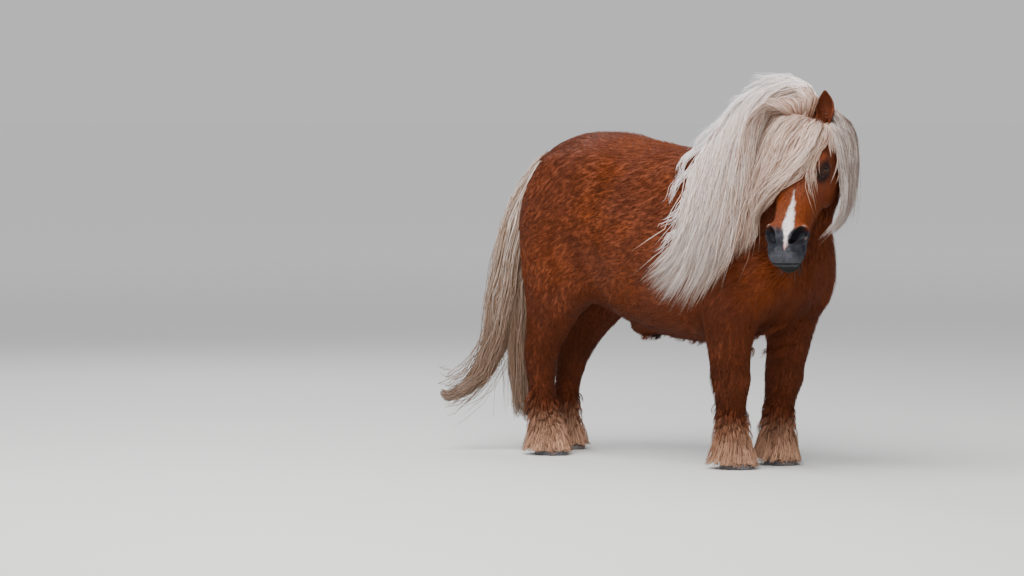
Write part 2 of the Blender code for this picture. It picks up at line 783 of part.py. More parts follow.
def forelock_locks(tree):
    """The forelock: from between the ears over the brow, blown towards the right eye."""
    made = []
    for k in range(FORELOCK):
        share = (k + 0.5) / FORELOCK
        root = on_surface(on_head(0.010, 0.03, 0.085 - 0.17 * share), tree)
        rise = BROWWARD * 0.8 - NOSEWARD * 0.5 - EARWARD * (0.1 + 0.5 * share)
        fall = NOSEWARD - EARWARD * (0.22 + 0.14 * share) - BROWWARD * 0.45
        length = (0.27 + 0.12 * share) * rng.choice((0.9, 1.0, 1.08))
        path, lie = drape(root, rise, fall, length, 6, 0.010 + 0.008 * (k % 3), tree)
        made.append(lock(path, lie, rng.choice((0.050, 0.058, 0.066)), 0.012, tree))
    return made


DOCK = [(0.000, -0.440, 0.915), (0.000, -0.505, 0.900), (-0.006, -0.540, 0.850), (-0.014, -0.552, 0.780),
        (-0.022, -0.556, 0.700)]


def dock():
    """The fleshy root of the tail."""
    rows = [(at(l, s + r, up + r * 0.4), at(l, s - r, up - r * 0.4), r, 2.0, 0.0)
            for (l, s, up), r in zip(DOCK, (0.036, 0.034, 0.028, 0.022, 0.012))]
    return loft("tail", rows, rings=8, sides=10)


def tail_locks(tree):
    """Hair all round the dock: one mass blown back and aside, one hanging straight down."""
    made = []
    for k in range(TAIL):
        share = (k + 0.5) / TAIL
        blown = k % 3 != 2
        step = 0.9 + 2.5 * (1 - share)
        span = min(int(step), len(DOCK) - 2)
        turn = k * 2.4
        radial = at(math.sin(turn), -math.cos(turn), 0)
        root = at(*mixed(DOCK[span], DOCK[span + 1], step - span)) + radial * 0.012
        if blown:
            fall = DOWN + WIND * (0.14 + 0.06 * share) + radial * 0.05
            length = (root[2] - 0.17) * 1.12 * rng.choice((0.90, 0.97, 1.0))
            path, lie = drape(root, radial * 0.35 + at(-0.1, -0.35, -0.5), fall, length, 8, 0.012, tree, curl=0.7)
        else:
            fall = DOWN + radial * 0.04
            length = (root[2] - 0.11) * 1.05 * rng.choice((0.92, 0.97, 1.0))
            path, lie = drape(root, radial * 0.25 + at(0, -0.2, -0.6), fall, length, 7, 0.012, tree)
        lie = np.array([radial] * len(path))
        made.append(lock(path, lie, rng.choice(TAIL_WIDTHS), 0.022, tree))
    return made


def feather_locks(name, tree):
    """Hair that falls from the fetlock over the hoof, longest at the heel."""
    left, forward = HOOF_PLACES[name]
    made = []
    for k in range(FEATHER):
        angle = 2 * math.pi * (k + 0.5) / FEATHER
        ahead, across = math.cos(angle), math.sin(angle)
        heel = 0.5 - 0.5 * ahead
        up = 0.088 + 0.036 * heel
        root = on_surface(at(left + across * 0.05, forward - 0.004 + ahead * 0.05, up), tree)
        outward = at(across, ahead, 0)
        path, lie = drape(root, outward * 0.4 + DOWN, DOWN + outward * (0.02 + 0.16 * heel) + WIND * 0.05,
                          0.066 + 0.044 * heel, 4, 0.005 + 0.004 * (k % 2), tree, bend=0.5)
        made.append(lock(path, lie, rng.choice(FEATHER_WIDTHS), 0.013, tree))
    return made


def pulled_back(made, tree, slack=0.004):
    """Brings back onto a surface the points of a mesh that thinning has thrown off it."""
    for vertex in made.data.vertices:
        spot, _, _, away = tree.find_nearest(vertex.co)
        if away > slack:
            vertex.co = spot
    return made


def fused(node, locks, triangles, others):
    """Locks, melted together and cut clear of the other nodes, made one solid with the node they grow from."""
    count = len(locks)
    hair = melted("hair", locks, HAIR_VOXEL)
    soften = hair.modifiers.new("soften", "SMOOTH")
    soften.factor = 0.5
    soften.iterations = 2
    tree = searchable([settled(hair)])
    hair = pulled_back(thinned(hair, triangles * count), tree)
    for gap in (HAIR_GAP, GAP, 0.0):
        combined(hair, "DIFFERENCE", [grown(other, "wider", gap) for other in others])
    combined(node, "UNION", [hair])
    return largest(node)


COLOURS = {
    "coat": (0.300, 0.095, 0.036),
    "tail_hair": (0.560, 0.400, 0.270),
    "horn": (0.060, 0.058, 0.062),
    "eye": (0.012, 0.008, 0.006),
}


def coloured(made, slot, roughness):
    material = bpy.data.materials.get(slot) or bpy.data.materials.new(slot)
    material.use_nodes = True
    shader = material.node_tree.nodes["Principled BSDF"]
    shader.inputs["Base Color"].default_value = (*COLOURS[slot], 1)
    shader.inputs["Roughness"].default_value = roughness
    made.data.materials.clear()
    made.data.materials.append(material)


def centred(made):
    """Moves every mesh so that the middle of the whole box's floor side is the origin."""
    places = np.array([vertex.co for each in made for vertex in each.data.vertices])
    low, high = places.min(axis=0), places.max(axis=0)
    shift = Vector((-(low[0] + high[0]) / 2, -(low[1] + high[1]) / 2, -low[2]))
    for each in made:
        for vertex in each.data.vertices:
            vertex.co += shift


def build():
    pieces = [trunk(), neck_core(), head_core()] + head_bumps() + body_bumps()
    pieces += [leg(name) for name in HOOF_PLACES]
    torso = thinned(smoothed(melted("torso", pieces, FLESH_VOXEL)), HEAD_TRIANGLES)
    body_group(torso)
    thinned(torso, FLESH_TRIANGLES, "body")
    hooves = {name: hoof(name) for name in HOOF_PLACES}
    tree = searchable([torso] + list(hooves.values()))
    head = part_off(torso, head_region(), "head")
    neck = part_off(torso, neck_region(), "neck")
    legs = {name: part_off(torso, leg_region(name), "leg_" + name) for name in HOOF_PLACES}
    for name, made in legs.items():
        combined(made, "DIFFERENCE", [below_coronet(name)])
        largest(made)
    eyes = []
    for name, side in (("eye_left", 1), ("eye_right", -1)):
        centre = eye_centre(side, tree)
        eyes.append(eye(name, centre))
        combined(head, "UNION", [lid(centre, side, True), lid(centre, side, False)])
        combined(head, "DIFFERENCE", [grown(eyes[-1], "socket")] + nostril(side))
    combined(head, "DIFFERENCE", [mouth()])
    largest(head)
    ears = [ear("ear_left", 1, 0.04, 0.05), ear("ear_right", -1, 0.35, 0.55)]
    for made in ears:
        combined(made, "DIFFERENCE", [grown(head, "wider"), grown(neck, "wider")])
        largest(made)
    fused(head, forelock_locks(tree), 50, [neck] + ears + eyes)
    for name, made in legs.items():
        fused(made, feather_locks(name, tree), 28, [hooves[name]])
    fused(neck, mane_locks(tree), 65, [torso, head, legs["fore_right"]] + ears)
    tail = dock()
    fused(tail, tail_locks(tree), 60, [torso, legs["hind_right"], legs["hind_left"]])
    combined(tail, "DIFFERENCE", [grown(torso, "wider")])
    largest(tail)
    for made in [torso, head, neck] + list(legs.values()) + ears:
        coloured(made, "coat", 0.8)
    for made in hooves.values():
        coloured(made, "horn", 0.5)
    for made in eyes:
        coloured(made, "eye", 0.1)
    coloured(tail, "tail_hair", 0.7)
    centred(bpy.context.scene.objects)


build()
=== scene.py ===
# %% [markdown]
# A Shetland pony stands with its head turned to its right and its mane blown to its right and back.
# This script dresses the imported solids: it hides them and puts a skin, a coat, hair, eyes and hooves in their
# place. The solids stay where they are, so the first step is to load them and keep their box.

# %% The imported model
import json
import math
import random

import bmesh
import bpy
import numpy as np
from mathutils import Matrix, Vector
from mathutils.bvhtree import BVHTree
from mathutils.kdtree import KDTree

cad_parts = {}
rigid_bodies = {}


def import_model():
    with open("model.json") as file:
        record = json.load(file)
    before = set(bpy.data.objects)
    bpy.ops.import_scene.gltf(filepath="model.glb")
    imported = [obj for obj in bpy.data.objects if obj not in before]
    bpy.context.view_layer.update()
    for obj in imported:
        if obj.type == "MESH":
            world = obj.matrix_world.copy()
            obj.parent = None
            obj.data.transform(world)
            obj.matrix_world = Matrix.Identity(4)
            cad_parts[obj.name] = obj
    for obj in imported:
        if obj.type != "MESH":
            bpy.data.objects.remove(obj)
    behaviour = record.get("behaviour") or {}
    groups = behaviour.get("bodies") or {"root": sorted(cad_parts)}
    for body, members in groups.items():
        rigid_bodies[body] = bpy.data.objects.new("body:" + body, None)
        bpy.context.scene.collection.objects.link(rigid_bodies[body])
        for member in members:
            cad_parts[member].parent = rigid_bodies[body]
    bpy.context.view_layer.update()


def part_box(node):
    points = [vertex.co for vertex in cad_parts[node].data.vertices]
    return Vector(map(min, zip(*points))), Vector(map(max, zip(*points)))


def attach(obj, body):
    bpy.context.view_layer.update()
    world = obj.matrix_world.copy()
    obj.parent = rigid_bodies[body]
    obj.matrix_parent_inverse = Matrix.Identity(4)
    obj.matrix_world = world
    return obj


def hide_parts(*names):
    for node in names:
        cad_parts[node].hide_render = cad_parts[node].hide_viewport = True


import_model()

# %% [markdown]
# Places on an animal are easiest to say as left, forward and up. The pony faces -Y and its left is +X.
# The solids were moved so that their box is centred, so the shapes here are made in the pony's own
# coordinates, where the left fore hoof is at a known place, and moved by the same step at the end.

# %% The pony's own directions
HOOF_MIDDLE = (0.098, -0.3195)
hoof_low, hoof_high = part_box("hoof_fore_left")
SHIFT = Vector(((hoof_low.x + hoof_high.x) / 2 - HOOF_MIDDLE[0],
                (hoof_low.y + hoof_high.y) / 2 - HOOF_MIDDLE[1], 0))
print("shift:", [round(v, 4) for v in SHIFT])


def at(left, forward, up):
    """A place or a direction on the pony as a point of the model."""
    return np.array([left, -forward, up], float)


def unit(vector):
    return vector / np.linalg.norm(vector, axis=-1, keepdims=True)


DOWN = at(0, 0, -1)
WIND = at(-0.643, -0.766, 0)

# %% [markdown]
# A photographer takes a pony from well back with a long lens, so that its legs don't seem to splay.
# The camera stands 13 m off, a little higher than the ears, and looks a little down. It is turned a little
# aside, so that the pony stands right of the middle, and its lens is as long as the picture asks.

# %% The camera
LENS_MM = 154.7
SENSOR_MM = 36
CAMERA_PLACE = at(-10.04, 8.42, 1.15)
LOOK = unit(np.array([0.766, 0.643, 0.0]))
TURNED_ASIDE = math.radians(2.134)
TURNED_DOWN = math.radians(2.779)

camera = bpy.data.objects.new("camera", bpy.data.cameras.new("camera"))
bpy.context.scene.collection.objects.link(camera)
camera.data.lens = LENS_MM
camera.data.sensor_width = SENSOR_MM
aside = np.cross(LOOK, at(0, 0, 1))
gaze = LOOK * math.cos(TURNED_ASIDE) - aside * math.sin(TURNED_ASIDE)
gaze = gaze * math.cos(TURNED_DOWN) + DOWN * math.sin(TURNED_DOWN)
camera.location = Vector(CAMERA_PLACE) + SHIFT
camera.rotation_euler = Vector(gaze).to_track_quat("-Z", "Y").to_euler()
camera.data.clip_end = 300
bpy.context.scene.camera = camera
print("camera at", [round(v, 2) for v in camera.location])

# %% [markdown]
# Outdoors under cloud, light comes from the whole sky and a little more from above. A large soft lamp
# overhead, a weaker one beside the camera, a faint one behind the pony and a pale world do the same in a
# studio. A pale floor sends some of it back to the belly. It fades to near white far off, so that no edge
# of it shows.

# %% Lights and floor


def lamp(name, place, aim, size, watts, warmth=(1, 1, 1)):
    made = bpy.data.objects.new(name, bpy.data.lights.new(name, "AREA"))
    made.data.size = size
    made.data.energy = watts
    made.data.color = warmth
    made.location = Vector(place) + SHIFT
    made.rotation_euler = Vector(aim - place).to_track_quat("-Z", "Y").to_euler()
    bpy.context.scene.collection.objects.link(made)


MIDDLE = at(0, 0, 0.7)
lamp("sky", at(-2.4, 0.2, 4.2), MIDDLE, 3.6, 370, (1.0, 0.98, 0.97))
lamp("front", at(-4.8, 3.6, 2.8), MIDDLE, 2.5, 230, (1.0, 0.97, 0.94))
lamp("behind", at(1.5, -4.0, 3.4), MIDDLE, 2.5, 90, (0.94, 0.97, 1.0))

world = bpy.data.worlds.new("studio")
bpy.context.scene.world = world
world.use_nodes = True
world.node_tree.nodes["Background"].inputs["Color"].default_value = (0.87, 0.87, 0.88, 1)
world.node_tree.nodes["Background"].inputs["Strength"].default_value = 0.72

FLOOR_REACH = 90
FLOOR_HEIGHT = -0.0005
FLOOR_SIDES = 96
floor_mesh = bpy.data.meshes.new("floor")
floor_turns = np.linspace(0, 2 * math.pi, FLOOR_SIDES + 1)[:-1]
corners = [(FLOOR_REACH * math.cos(a), FLOOR_REACH * math.sin(a), FLOOR_HEIGHT) for a in floor_turns]
floor_mesh.from_pydata(corners, [], [tuple(range(len(corners)))])
floor = bpy.data.objects.new("floor", floor_mesh)
bpy.context.scene.collection.objects.link(floor)

# %% [markdown]
# Every finish here is worked out from numbers that change over the surface, so shader maths is written
# as plain sums. One small class wraps a socket: adding or multiplying two of them makes the Math node.

# %% Sums of sockets


class Wire:
    """A socket that can stand in a sum."""

    def __init__(self, tree, socket):
        self.tree = tree
        self.socket = socket

    def node(self, kind, settings, values, out=0):
        """A new node of the same tree: its settings first, then the values or links of its sockets."""
        made = self.tree.nodes.new("ShaderNode" + kind)
        for name, value in settings.items():
            setattr(made, name, value)
        for name, value in values.items():
            if isinstance(value, Wire):
                self.tree.links.new(value.socket, made.inputs[name])
            else:
                made.inputs[name].default_value = value
        return Wire(self.tree, made.outputs[out])

    def maths(self, operation, first, second=0.0):
        return self.node("Math", {"operation": operation}, {0: first, 1: second})

    def __add__(self, other):
        return self.maths("ADD", self, other)

    __radd__ = __add__

    def __mul__(self, other):
        return self.maths("MULTIPLY", self, other)

    __rmul__ = __mul__

    def __sub__(self, other):
        return self.maths("SUBTRACT", self, other)

    def __rsub__(self, other):
        return self.maths("SUBTRACT", other, self)

    def distance_to(self, other):
        """How far one number is from another, never below nothing."""
        return self.maths("ABSOLUTE", self - other)

    def rise(self, low, high):
        """0 below low, 1 above high and smooth between."""
        return self.node("MapRange", {"interpolation_type": "SMOOTHSTEP"},
                         {"Value": self, "From Min": low, "From Max": high})

    def along_way(self, way):
        """How far a place lies along a direction."""
        return self.node("VectorMath", {"operation": "DOT_PRODUCT"}, {0: self, 1: tuple(way)}, "Value")

    def stretched(self, x, y, z):
        """The same place with each axis scaled."""
        return self.node("VectorMath", {"operation": "MULTIPLY"}, {0: self, 1: (x, y, z)})

    def noise(self, scale, detail=2.0, roughness=0.5):
        settings = {"Vector": self, "Scale": scale, "Detail": detail, "Roughness": roughness}
        return self.node("TexNoise", {}, settings)

    def between(self, first, second):
        """Two colours mixed, this number being the second one's share."""
        return self.node("Mix", {"data_type": "RGBA"}, {0: self, 6: shade(first), 7: shade(second)}, 2)

    def times(self, colour):
        """A colour made lighter or darker by this number."""
        grey = self.node("CombineColor", {}, {0: self, 1: self, 2: self})
        return self.node("Mix", {"data_type": "RGBA", "blend_type": "MULTIPLY"},
                         {0: 1.0, 6: shade(colour), 7: grey}, 2)


def shade(colour):
    return colour if isinstance(colour, Wire) else (*colour, 1.0)


def finish_named(name, roughness=0.6, **constants):
    """A new material, its shader and a wire to begin with.

    Numbers that don't change over the surface are set on the shader itself.
    """
    material = bpy.data.materials.new(name)
    material.use_nodes = True
    shader = material.node_tree.nodes["Principled BSDF"]
    shader.inputs["Roughness"].default_value = roughness
    for socket, value in constants.items():
        shader.inputs[socket.replace("_", " ")].default_value = value
    return material, shader, Wire(material.node_tree, None)


def attribute(start, name, number=False):
    """What the mesh says of itself under a name: a place, or a number."""
    return start.node("Attribute", {"attribute_name": name}, {}, "Fac" if number else "Vector")


def into(shader, socket, wire):
    wire.tree.links.new(wire.socket, shader.inputs[socket])


floor_finish, floor_shader, start = finish_named("floor_pale", 0.85)
floor_place = start.node("TexCoord", {}, {}, "Object")
far_off = floor_place.node("VectorMath", {"operation": "LENGTH"}, {0: floor_place}, "Value").rise(3.0, 16.0)
near_floor = floor_place.noise(0.8, 3).between((0.60, 0.61, 0.60), (0.66, 0.66, 0.65))
into(floor_shader, "Base Color", far_off.between(near_floor, (0.97, 0.97, 0.97)))
floor.data.materials.append(floor_finish)
print("finish made:", floor_finish.name)

# %% [markdown]
# The head has directions of its own: along the nose from the poll, back from the line of the face, and
# aside to its left. Places on it are given in parts of its length, as a drawing of a horse's head would.

# %% The head's own directions
HEAD_LENGTH = 0.45
POLL = (-0.162, 0.603, 1.035)
YAW = math.radians(72.0)
PITCH = math.radians(28.0)
HEADING = at(-math.sin(YAW), math.cos(YAW), 0)
NOSEWARD = HEADING * math.sin(PITCH) + DOWN * math.cos(PITCH)
BROWWARD = HEADING * math.cos(PITCH) - DOWN * math.sin(PITCH)
EARWARD = np.cross(-DOWN, HEADING)


def on_head(along, depth, side):
    return at(*POLL) + (NOSEWARD * along - BROWWARD * depth + EARWARD * side) * HEAD_LENGTH


def head_parts(places):
    """Where places lie on the head: along it, behind its face line and to its left."""
    away = (np.asarray(places) - at(*POLL)) / HEAD_LENGTH
    return away @ NOSEWARD, -(away @ BROWWARD), away @ EARWARD


def rising(values, low, high):
    """0 below low, 1 above high and smooth between."""
    share = np.clip((np.asarray(values, float) - low) / (high - low), 0, 1)
    return share * share * (3 - 2 * share)


print("nose points", [round(v, 2) for v in NOSEWARD])

# %% [markdown]
# Flesh is made of rounded closed forms: lofts through rings for the trunk, neck, head and legs, and
# ellipsoids for muscles. They cross each other freely, because a voxel remesh melts them into one skin.
# The rows are the ones the solids were made from, so that the skin lies where the solids are.

# %% Rounded forms


def smooth_rows(rows, count):
    """Rows of numbers drawn out to count rows on a Catmull-Rom curve through them."""
    rows = np.asarray(rows, float)
    padded = np.concatenate([[2 * rows[0] - rows[1]], rows, [2 * rows[-1] - rows[-2]]])
    step = np.linspace(0, len(rows) - 1, count)
    span = np.minimum(step.astype(int), len(rows) - 2)
    t = (step - span).reshape(-1, *[1] * (rows.ndim - 1))
    a, b, c, d = (padded[span + k] for k in range(4))
    curve = 2 * b + (c - a) * t + (2 * a - 5 * b + 4 * c - d) * t ** 2 + (3 * b - a - 3 * c + d) * t ** 3
    return 0.5 * curve


def linked(name, mesh):
    made = bpy.data.objects.new(name, mesh)
    bpy.context.scene.collection.objects.link(made)
    return made


def face_out(made):
    """Turns the faces of a closed mesh outwards."""
    work = bmesh.new()
    work.from_mesh(made.data)
    bmesh.ops.triangulate(work, faces=work.faces)
    bmesh.ops.recalc_face_normals(work, faces=work.faces)
    if work.calc_volume(signed=True) < 0:
        bmesh.ops.reverse_faces(work, faces=work.faces)
    work.to_mesh(made.data)
    work.free()
    return made


def skin_rings(name, rings):
    """A closed mesh through rings of points, with a flat cap at each end."""
    count, sides = len(rings), len(rings[0])
    faces = [
        (k * sides + i, k * sides + (i + 1) % sides, (k + 1) * sides + (i + 1) % sides, (k + 1) * sides + i)
        for k in range(count - 1) for i in range(sides)
    ]
    faces.append(tuple(range(sides))[::-1])
    faces.append(tuple(range((count - 1) * sides, count * sides)))
    mesh = bpy.data.meshes.new(name)
    mesh.from_pydata(np.concatenate(rings).tolist(), [], faces)
    return face_out(linked(name, mesh))


def loft(name, rows, rings=24, sides=28):
    """A rounded form from rows of (front point, back point, half width, squareness, low fullness)."""
    drawn = smooth_rows([np.concatenate([front, back, [half, square, low]])
                         for front, back, half, square, low in rows], rings)
    front, back = drawn[:, 0:3], drawn[:, 3:6]
    run = np.gradient((front + back) / 2, axis=0)
    turn = np.linspace(0, 2 * math.pi, sides, endpoint=False)
    made = []
    for k in range(rings):
        deep = (front[k] - back[k]) / 2
        side = unit(np.cross(deep, run[k]))
        half, square, low = drawn[k, 6:9]
        ahead = np.sign(np.cos(turn)) * np.abs(np.cos(turn)) ** (2 / square)
        across = np.sign(np.sin(turn)) * np.abs(np.sin(turn)) ** (2 / square) * (1 - low * np.cos(turn))
        made.append((front[k] + back[k]) / 2 + np.outer(ahead, deep) + np.outer(across, side * half))
    return skin_rings(name, made)


def ball(name, centre, axes, subdivisions=4):
    """An ellipsoid whose three half axes are the given vectors."""
    work = bmesh.new()
    bmesh.ops.create_icosphere(work, subdivisions=subdivisions, radius=1)
    for vertex in work.verts:
        vertex.co = Vector(np.asarray(centre) + np.array(vertex.co) @ np.array(axes))
    mesh = bpy.data.meshes.new(name)
    work.to_mesh(mesh)
    work.free()
    return face_out(linked(name, mesh))


trial = smooth_rows([(0.0, 0.0), (1.0, 1.0), (2.0, 0.0)], 5)
print("a curve through three rows:", trial[:, 1].round(3).tolist())

# %% [markdown]
# The trunk of a Shetland is deep and short-coupled: the back dips a little behind the withers and rises to
# the croup, and the belly is wide. The neck leaves the shoulders forward and up and turns with the head.

# %% Trunk and neck


def trunk():
    """Rump to breast: back line, belly line, half width, squareness, how far it fills out low down."""
    rows = [
        (-0.515, 0.850, 0.700, 0.060, 2.0, 0.0),
        (-0.495, 0.905, 0.610, 0.120, 2.0, 0.0),
        (-0.430, 0.955, 0.525, 0.168, 2.1, 0.0),
        (-0.330, 0.980, 0.475, 0.198, 2.2, 0.0),
        (-0.220, 0.982, 0.435, 0.210, 2.2, 0.03),
        (-0.100, 0.960, 0.396, 0.226, 2.2, 0.08),
        (0.020, 0.940, 0.368, 0.236, 2.2, 0.09),
        (0.140, 0.940, 0.360, 0.228, 2.2, 0.06),
        (0.250, 0.958, 0.374, 0.200, 2.2, 0.02),
        (0.340, 0.930, 0.398, 0.178, 2.3, 0.0),
        (0.420, 0.850, 0.440, 0.158, 2.3, 0.0),
        (0.485, 0.770, 0.500, 0.120, 2.2, 0.0),
        (0.520, 0.700, 0.570, 0.060, 2.0, 0.0),
    ]
    return loft("trunk", [(at(0, s, top), at(0, s, low), half, square, full)
                          for s, top, low, half, square, full in rows], 48, 40)


def neck_core():
    """Withers to poll: crest and throat points with the half width between them."""
    rows = [
        ((0.000, 0.20, 0.935), (0.000, 0.380, 0.500), 0.155),
        ((0.000, 0.29, 0.972), (0.000, 0.470, 0.600), 0.142),
        ((0.004, 0.38, 1.010), (0.006, 0.528, 0.700), 0.126),
        ((-0.010, 0.47, 1.040), (0.000, 0.550, 0.775), 0.110),
        ((-0.060, 0.550, 1.052), (-0.030, 0.570, 0.825), 0.094),
        ((-0.115, 0.594, 1.045), (-0.080, 0.585, 0.860), 0.078),
        ((-0.160, 0.615, 1.020), (-0.135, 0.595, 0.880), 0.062),
    ]
    lines = [(at(*top), at(*throat), half, 2.2, 0.12) for top, throat, half in rows]
    return loft("neck_core", lines, 26, 32)


def level_ball(name, left, forward, up, half_left, half_forward, half_up):
    return ball(name, at(left, forward, up), np.diag([half_left, half_forward, half_up]), 3)


def body_bumps():
    """Muscles that stand out under the coat: shoulders, arms, breast, hips, buttocks and sheath."""
    made = [level_ball("sheath", 0, -0.110, 0.398, 0.045, 0.075, 0.036)]
    for side in (-1, 1):
        made.append(level_ball("shoulder", side * 0.125, 0.345, 0.700, 0.070, 0.110, 0.190))
        made.append(level_ball("arm", side * 0.130, 0.400, 0.560, 0.070, 0.085, 0.130))
        made.append(level_ball("breast", side * 0.075, 0.435, 0.610, 0.085, 0.085, 0.130))
        made.append(level_ball("hip", side * 0.115, -0.250, 0.840, 0.085, 0.150, 0.105))
        made.append(level_ball("buttock", side * 0.090, -0.430, 0.740, 0.085, 0.070, 0.160))
    return made


first_parts = [trunk(), neck_core()]
print("trunk and neck:", [len(made.data.polygons) for made in first_parts], "triangles")

# %% [markdown]
# A pony's head is short and wedge-shaped: broad between the eyes, deep in the jaw, and narrow above a soft
# muzzle with wide nostrils. One loft gives the wedge and ellipsoids add brow, cheek, nostril rims and lips.

# %% Head


def head_core(rings, sides):
    """Poll to lips, in parts of the head's length: face line and jaw line depths and half width."""
    rows = [
        (-0.060, 0.090, 0.230, 0.085, 2.0, 0.0),
        (0.000, 0.020, 0.330, 0.140, 2.1, 0.0),
        (0.090, -0.014, 0.405, 0.168, 2.2, 0.0),
        (0.200, -0.020, 0.445, 0.184, 2.3, -0.04),
        (0.320, -0.004, 0.455, 0.180, 2.3, 0.0),
        (0.440, 0.014, 0.415, 0.156, 2.3, 0.03),
        (0.560, 0.026, 0.335, 0.130, 2.3, 0.03),
        (0.680, 0.030, 0.275, 0.114, 2.3, 0.0),
        (0.780, 0.026, 0.252, 0.118, 2.3, -0.03),
        (0.870, 0.028, 0.245, 0.124, 2.3, -0.02),
        (0.940, 0.050, 0.235, 0.112, 2.2, 0.0),
        (0.985, 0.085, 0.205, 0.080, 2.0, 0.0),
        (1.000, 0.120, 0.175, 0.040, 2.0, 0.0),
    ]
    return loft("head_core", [(on_head(t, face, 0), on_head(t, jaw, 0), half * HEAD_LENGTH, square, low)
                              for t, face, jaw, half, square, low in rows], rings, sides)


def head_ball(name, along, depth, side, half_along, half_depth, half_side, slant=0.0):
    """An ellipsoid in parts of the head's length, its long axis slanted sideways."""
    long_axis = unit(NOSEWARD - EARWARD * slant)
    axes = [long_axis * half_along, BROWWARD * half_depth, np.cross(long_axis, BROWWARD) * half_side]
    return ball(name, on_head(along, depth, side), np.array(axes) * HEAD_LENGTH)


def head_bumps():
    made = [
        head_ball("upper_lip", 0.945, 0.125, 0, 0.065, 0.075, 0.098),
        head_ball("chin", 0.935, 0.222, 0, 0.068, 0.050, 0.074),
    ]
    for side in (-1, 1):
        made.append(head_ball("brow", 0.300, 0.082, side * 0.140, 0.100, 0.060, 0.048))
        made.append(head_ball("cheek", 0.330, 0.285, side * 0.112, 0.170, 0.160, 0.072))
        made.append(head_ball("nostril_rim", 0.812, 0.100, side * 0.094, 0.090, 0.074, 0.046, side * 0.33))
    return made


first_parts.append(head_core(44, 36))
print("head:", len(first_parts[-1].data.polygons), "triangles, lips at", on_head(1.0, 0.15, 0).round(3))

# %% [markdown]
# Legs are short and strong, with broad knees and hocks and wide fetlocks. Each is one loft down its front
# and back lines, and it leans from where it joins the body to where its hoof stands.

# %% Legs
HOOF_PLACES = {
    "fore_right": (-0.100, 0.300),
    "fore_left": (0.098, 0.306),
    "hind_right": (-0.100, -0.425),
    "hind_left": (0.098, -0.530),
}
CARRIED_AHEAD = {"fore_right": 0.008, "fore_left": 0.026, "hind_right": 0.0, "hind_left": 0.0}
STANCE_TOP = 0.56

# Legs, top to coronet: left, front line, back line, height and half width.
FORE_ROWS = [
    (0.090, 0.400, 0.180, 0.800, 0.085),
    (0.115, 0.440, 0.190, 0.700, 0.088),
    (0.128, 0.450, 0.185, 0.600, 0.086),
    (0.134, 0.418, 0.200, 0.500, 0.080),
    (0.132, 0.384, 0.224, 0.420, 0.070),
    (0.128, 0.362, 0.236, 0.340, 0.062),
    (0.122, 0.356, 0.238, 0.290, 0.058),
    (0.118, 0.357, 0.240, 0.250, 0.058),
    (0.114, 0.342, 0.247, 0.210, 0.049),
    (0.111, 0.332, 0.250, 0.165, 0.042),
    (0.108, 0.338, 0.244, 0.120, 0.046),
    (0.106, 0.340, 0.252, 0.085, 0.047),
    (0.104, 0.347, 0.248, 0.045, 0.053),
    (0.104, 0.349, 0.248, 0.020, 0.054),
]
HIND_ROWS = [
    (0.075, -0.180, -0.445, 0.900, 0.085),
    (0.105, -0.175, -0.500, 0.800, 0.098),
    (0.118, -0.175, -0.512, 0.700, 0.102),
    (0.124, -0.190, -0.505, 0.600, 0.096),
    (0.122, -0.220, -0.492, 0.510, 0.084),
    (0.116, -0.290, -0.484, 0.430, 0.067),
    (0.110, -0.352, -0.487, 0.365, 0.053),
    (0.106, -0.384, -0.502, 0.310, 0.048),
    (0.104, -0.398, -0.494, 0.255, 0.043),
    (0.103, -0.402, -0.480, 0.190, 0.038),
    (0.102, -0.394, -0.478, 0.125, 0.043),
    (0.102, -0.378, -0.457, 0.085, 0.044),
    (0.102, -0.365, -0.462, 0.045, 0.052),
    (0.102, -0.363, -0.462, 0.020, 0.053),
]


def leg(name):
    rows = FORE_ROWS if name.startswith("fore") else HIND_ROWS
    side = 1 if name.endswith("left") else -1
    foot_left, foot_forward = HOOF_PLACES[name]
    ahead = CARRIED_AHEAD[name]
    made = []
    for left, front, back, up, half in rows:
        share = float(rising(1 - up / STANCE_TOP, 0, 1))
        slide = (foot_left - side * rows[-1][0]) * share
        step = (foot_forward - (rows[-1][1] + rows[-1][2]) / 2) * share + ahead * (1 - share)
        middle = side * left + slide
        made.append((at(middle, front + step, up), at(middle, back + step, up), half, 2.1, 0.0))
    return loft(name, made, 42, 26)


print("legs stand at", HOOF_PLACES)

# %% [markdown]
# The crossing forms are melted and then smoothed hard over the body, where skin is drawn over muscle, and
# lightly on the face and legs, where bone is close. This first skin has cells of 8 mm, as the solids had.

# %% The first skin


def joined(name, pieces):
    """Several objects as one mesh, their surfaces still crossing."""
    work = bmesh.new()
    for piece in pieces:
        work.from_mesh(piece.data)
        bpy.data.objects.remove(piece, do_unlink=True)
    mesh = bpy.data.meshes.new(name)
    work.to_mesh(mesh)
    work.free()
    return linked(name, mesh)


def settled(made):
    """Applies an object's modifiers."""
    bpy.context.view_layer.update()
    graph = bpy.context.evaluated_depsgraph_get()
    mesh = bpy.data.meshes.new_from_object(made.evaluated_get(graph))
    made.modifiers.clear()
    made.data = mesh
    return made


def melted(name, pieces, voxel):
    """Crossing closed shapes as one closed skin."""
    made = joined(name, pieces)
    remesh = made.modifiers.new("melt", "REMESH")
    remesh.mode = "VOXEL"
    remesh.voxel_size = voxel
    return settled(made)


def points_of(made):
    places = np.empty(len(made.data.vertices) * 3, np.float32)
    made.data.vertices.foreach_get("co", places)
    return places.reshape(-1, 3).astype(float)


def normals_of(made):
    normals = np.empty(len(made.data.vertices) * 3, np.float32)
    made.data.vertex_normals.foreach_get("vector", normals)
    return normals.reshape(-1, 3).astype(float)


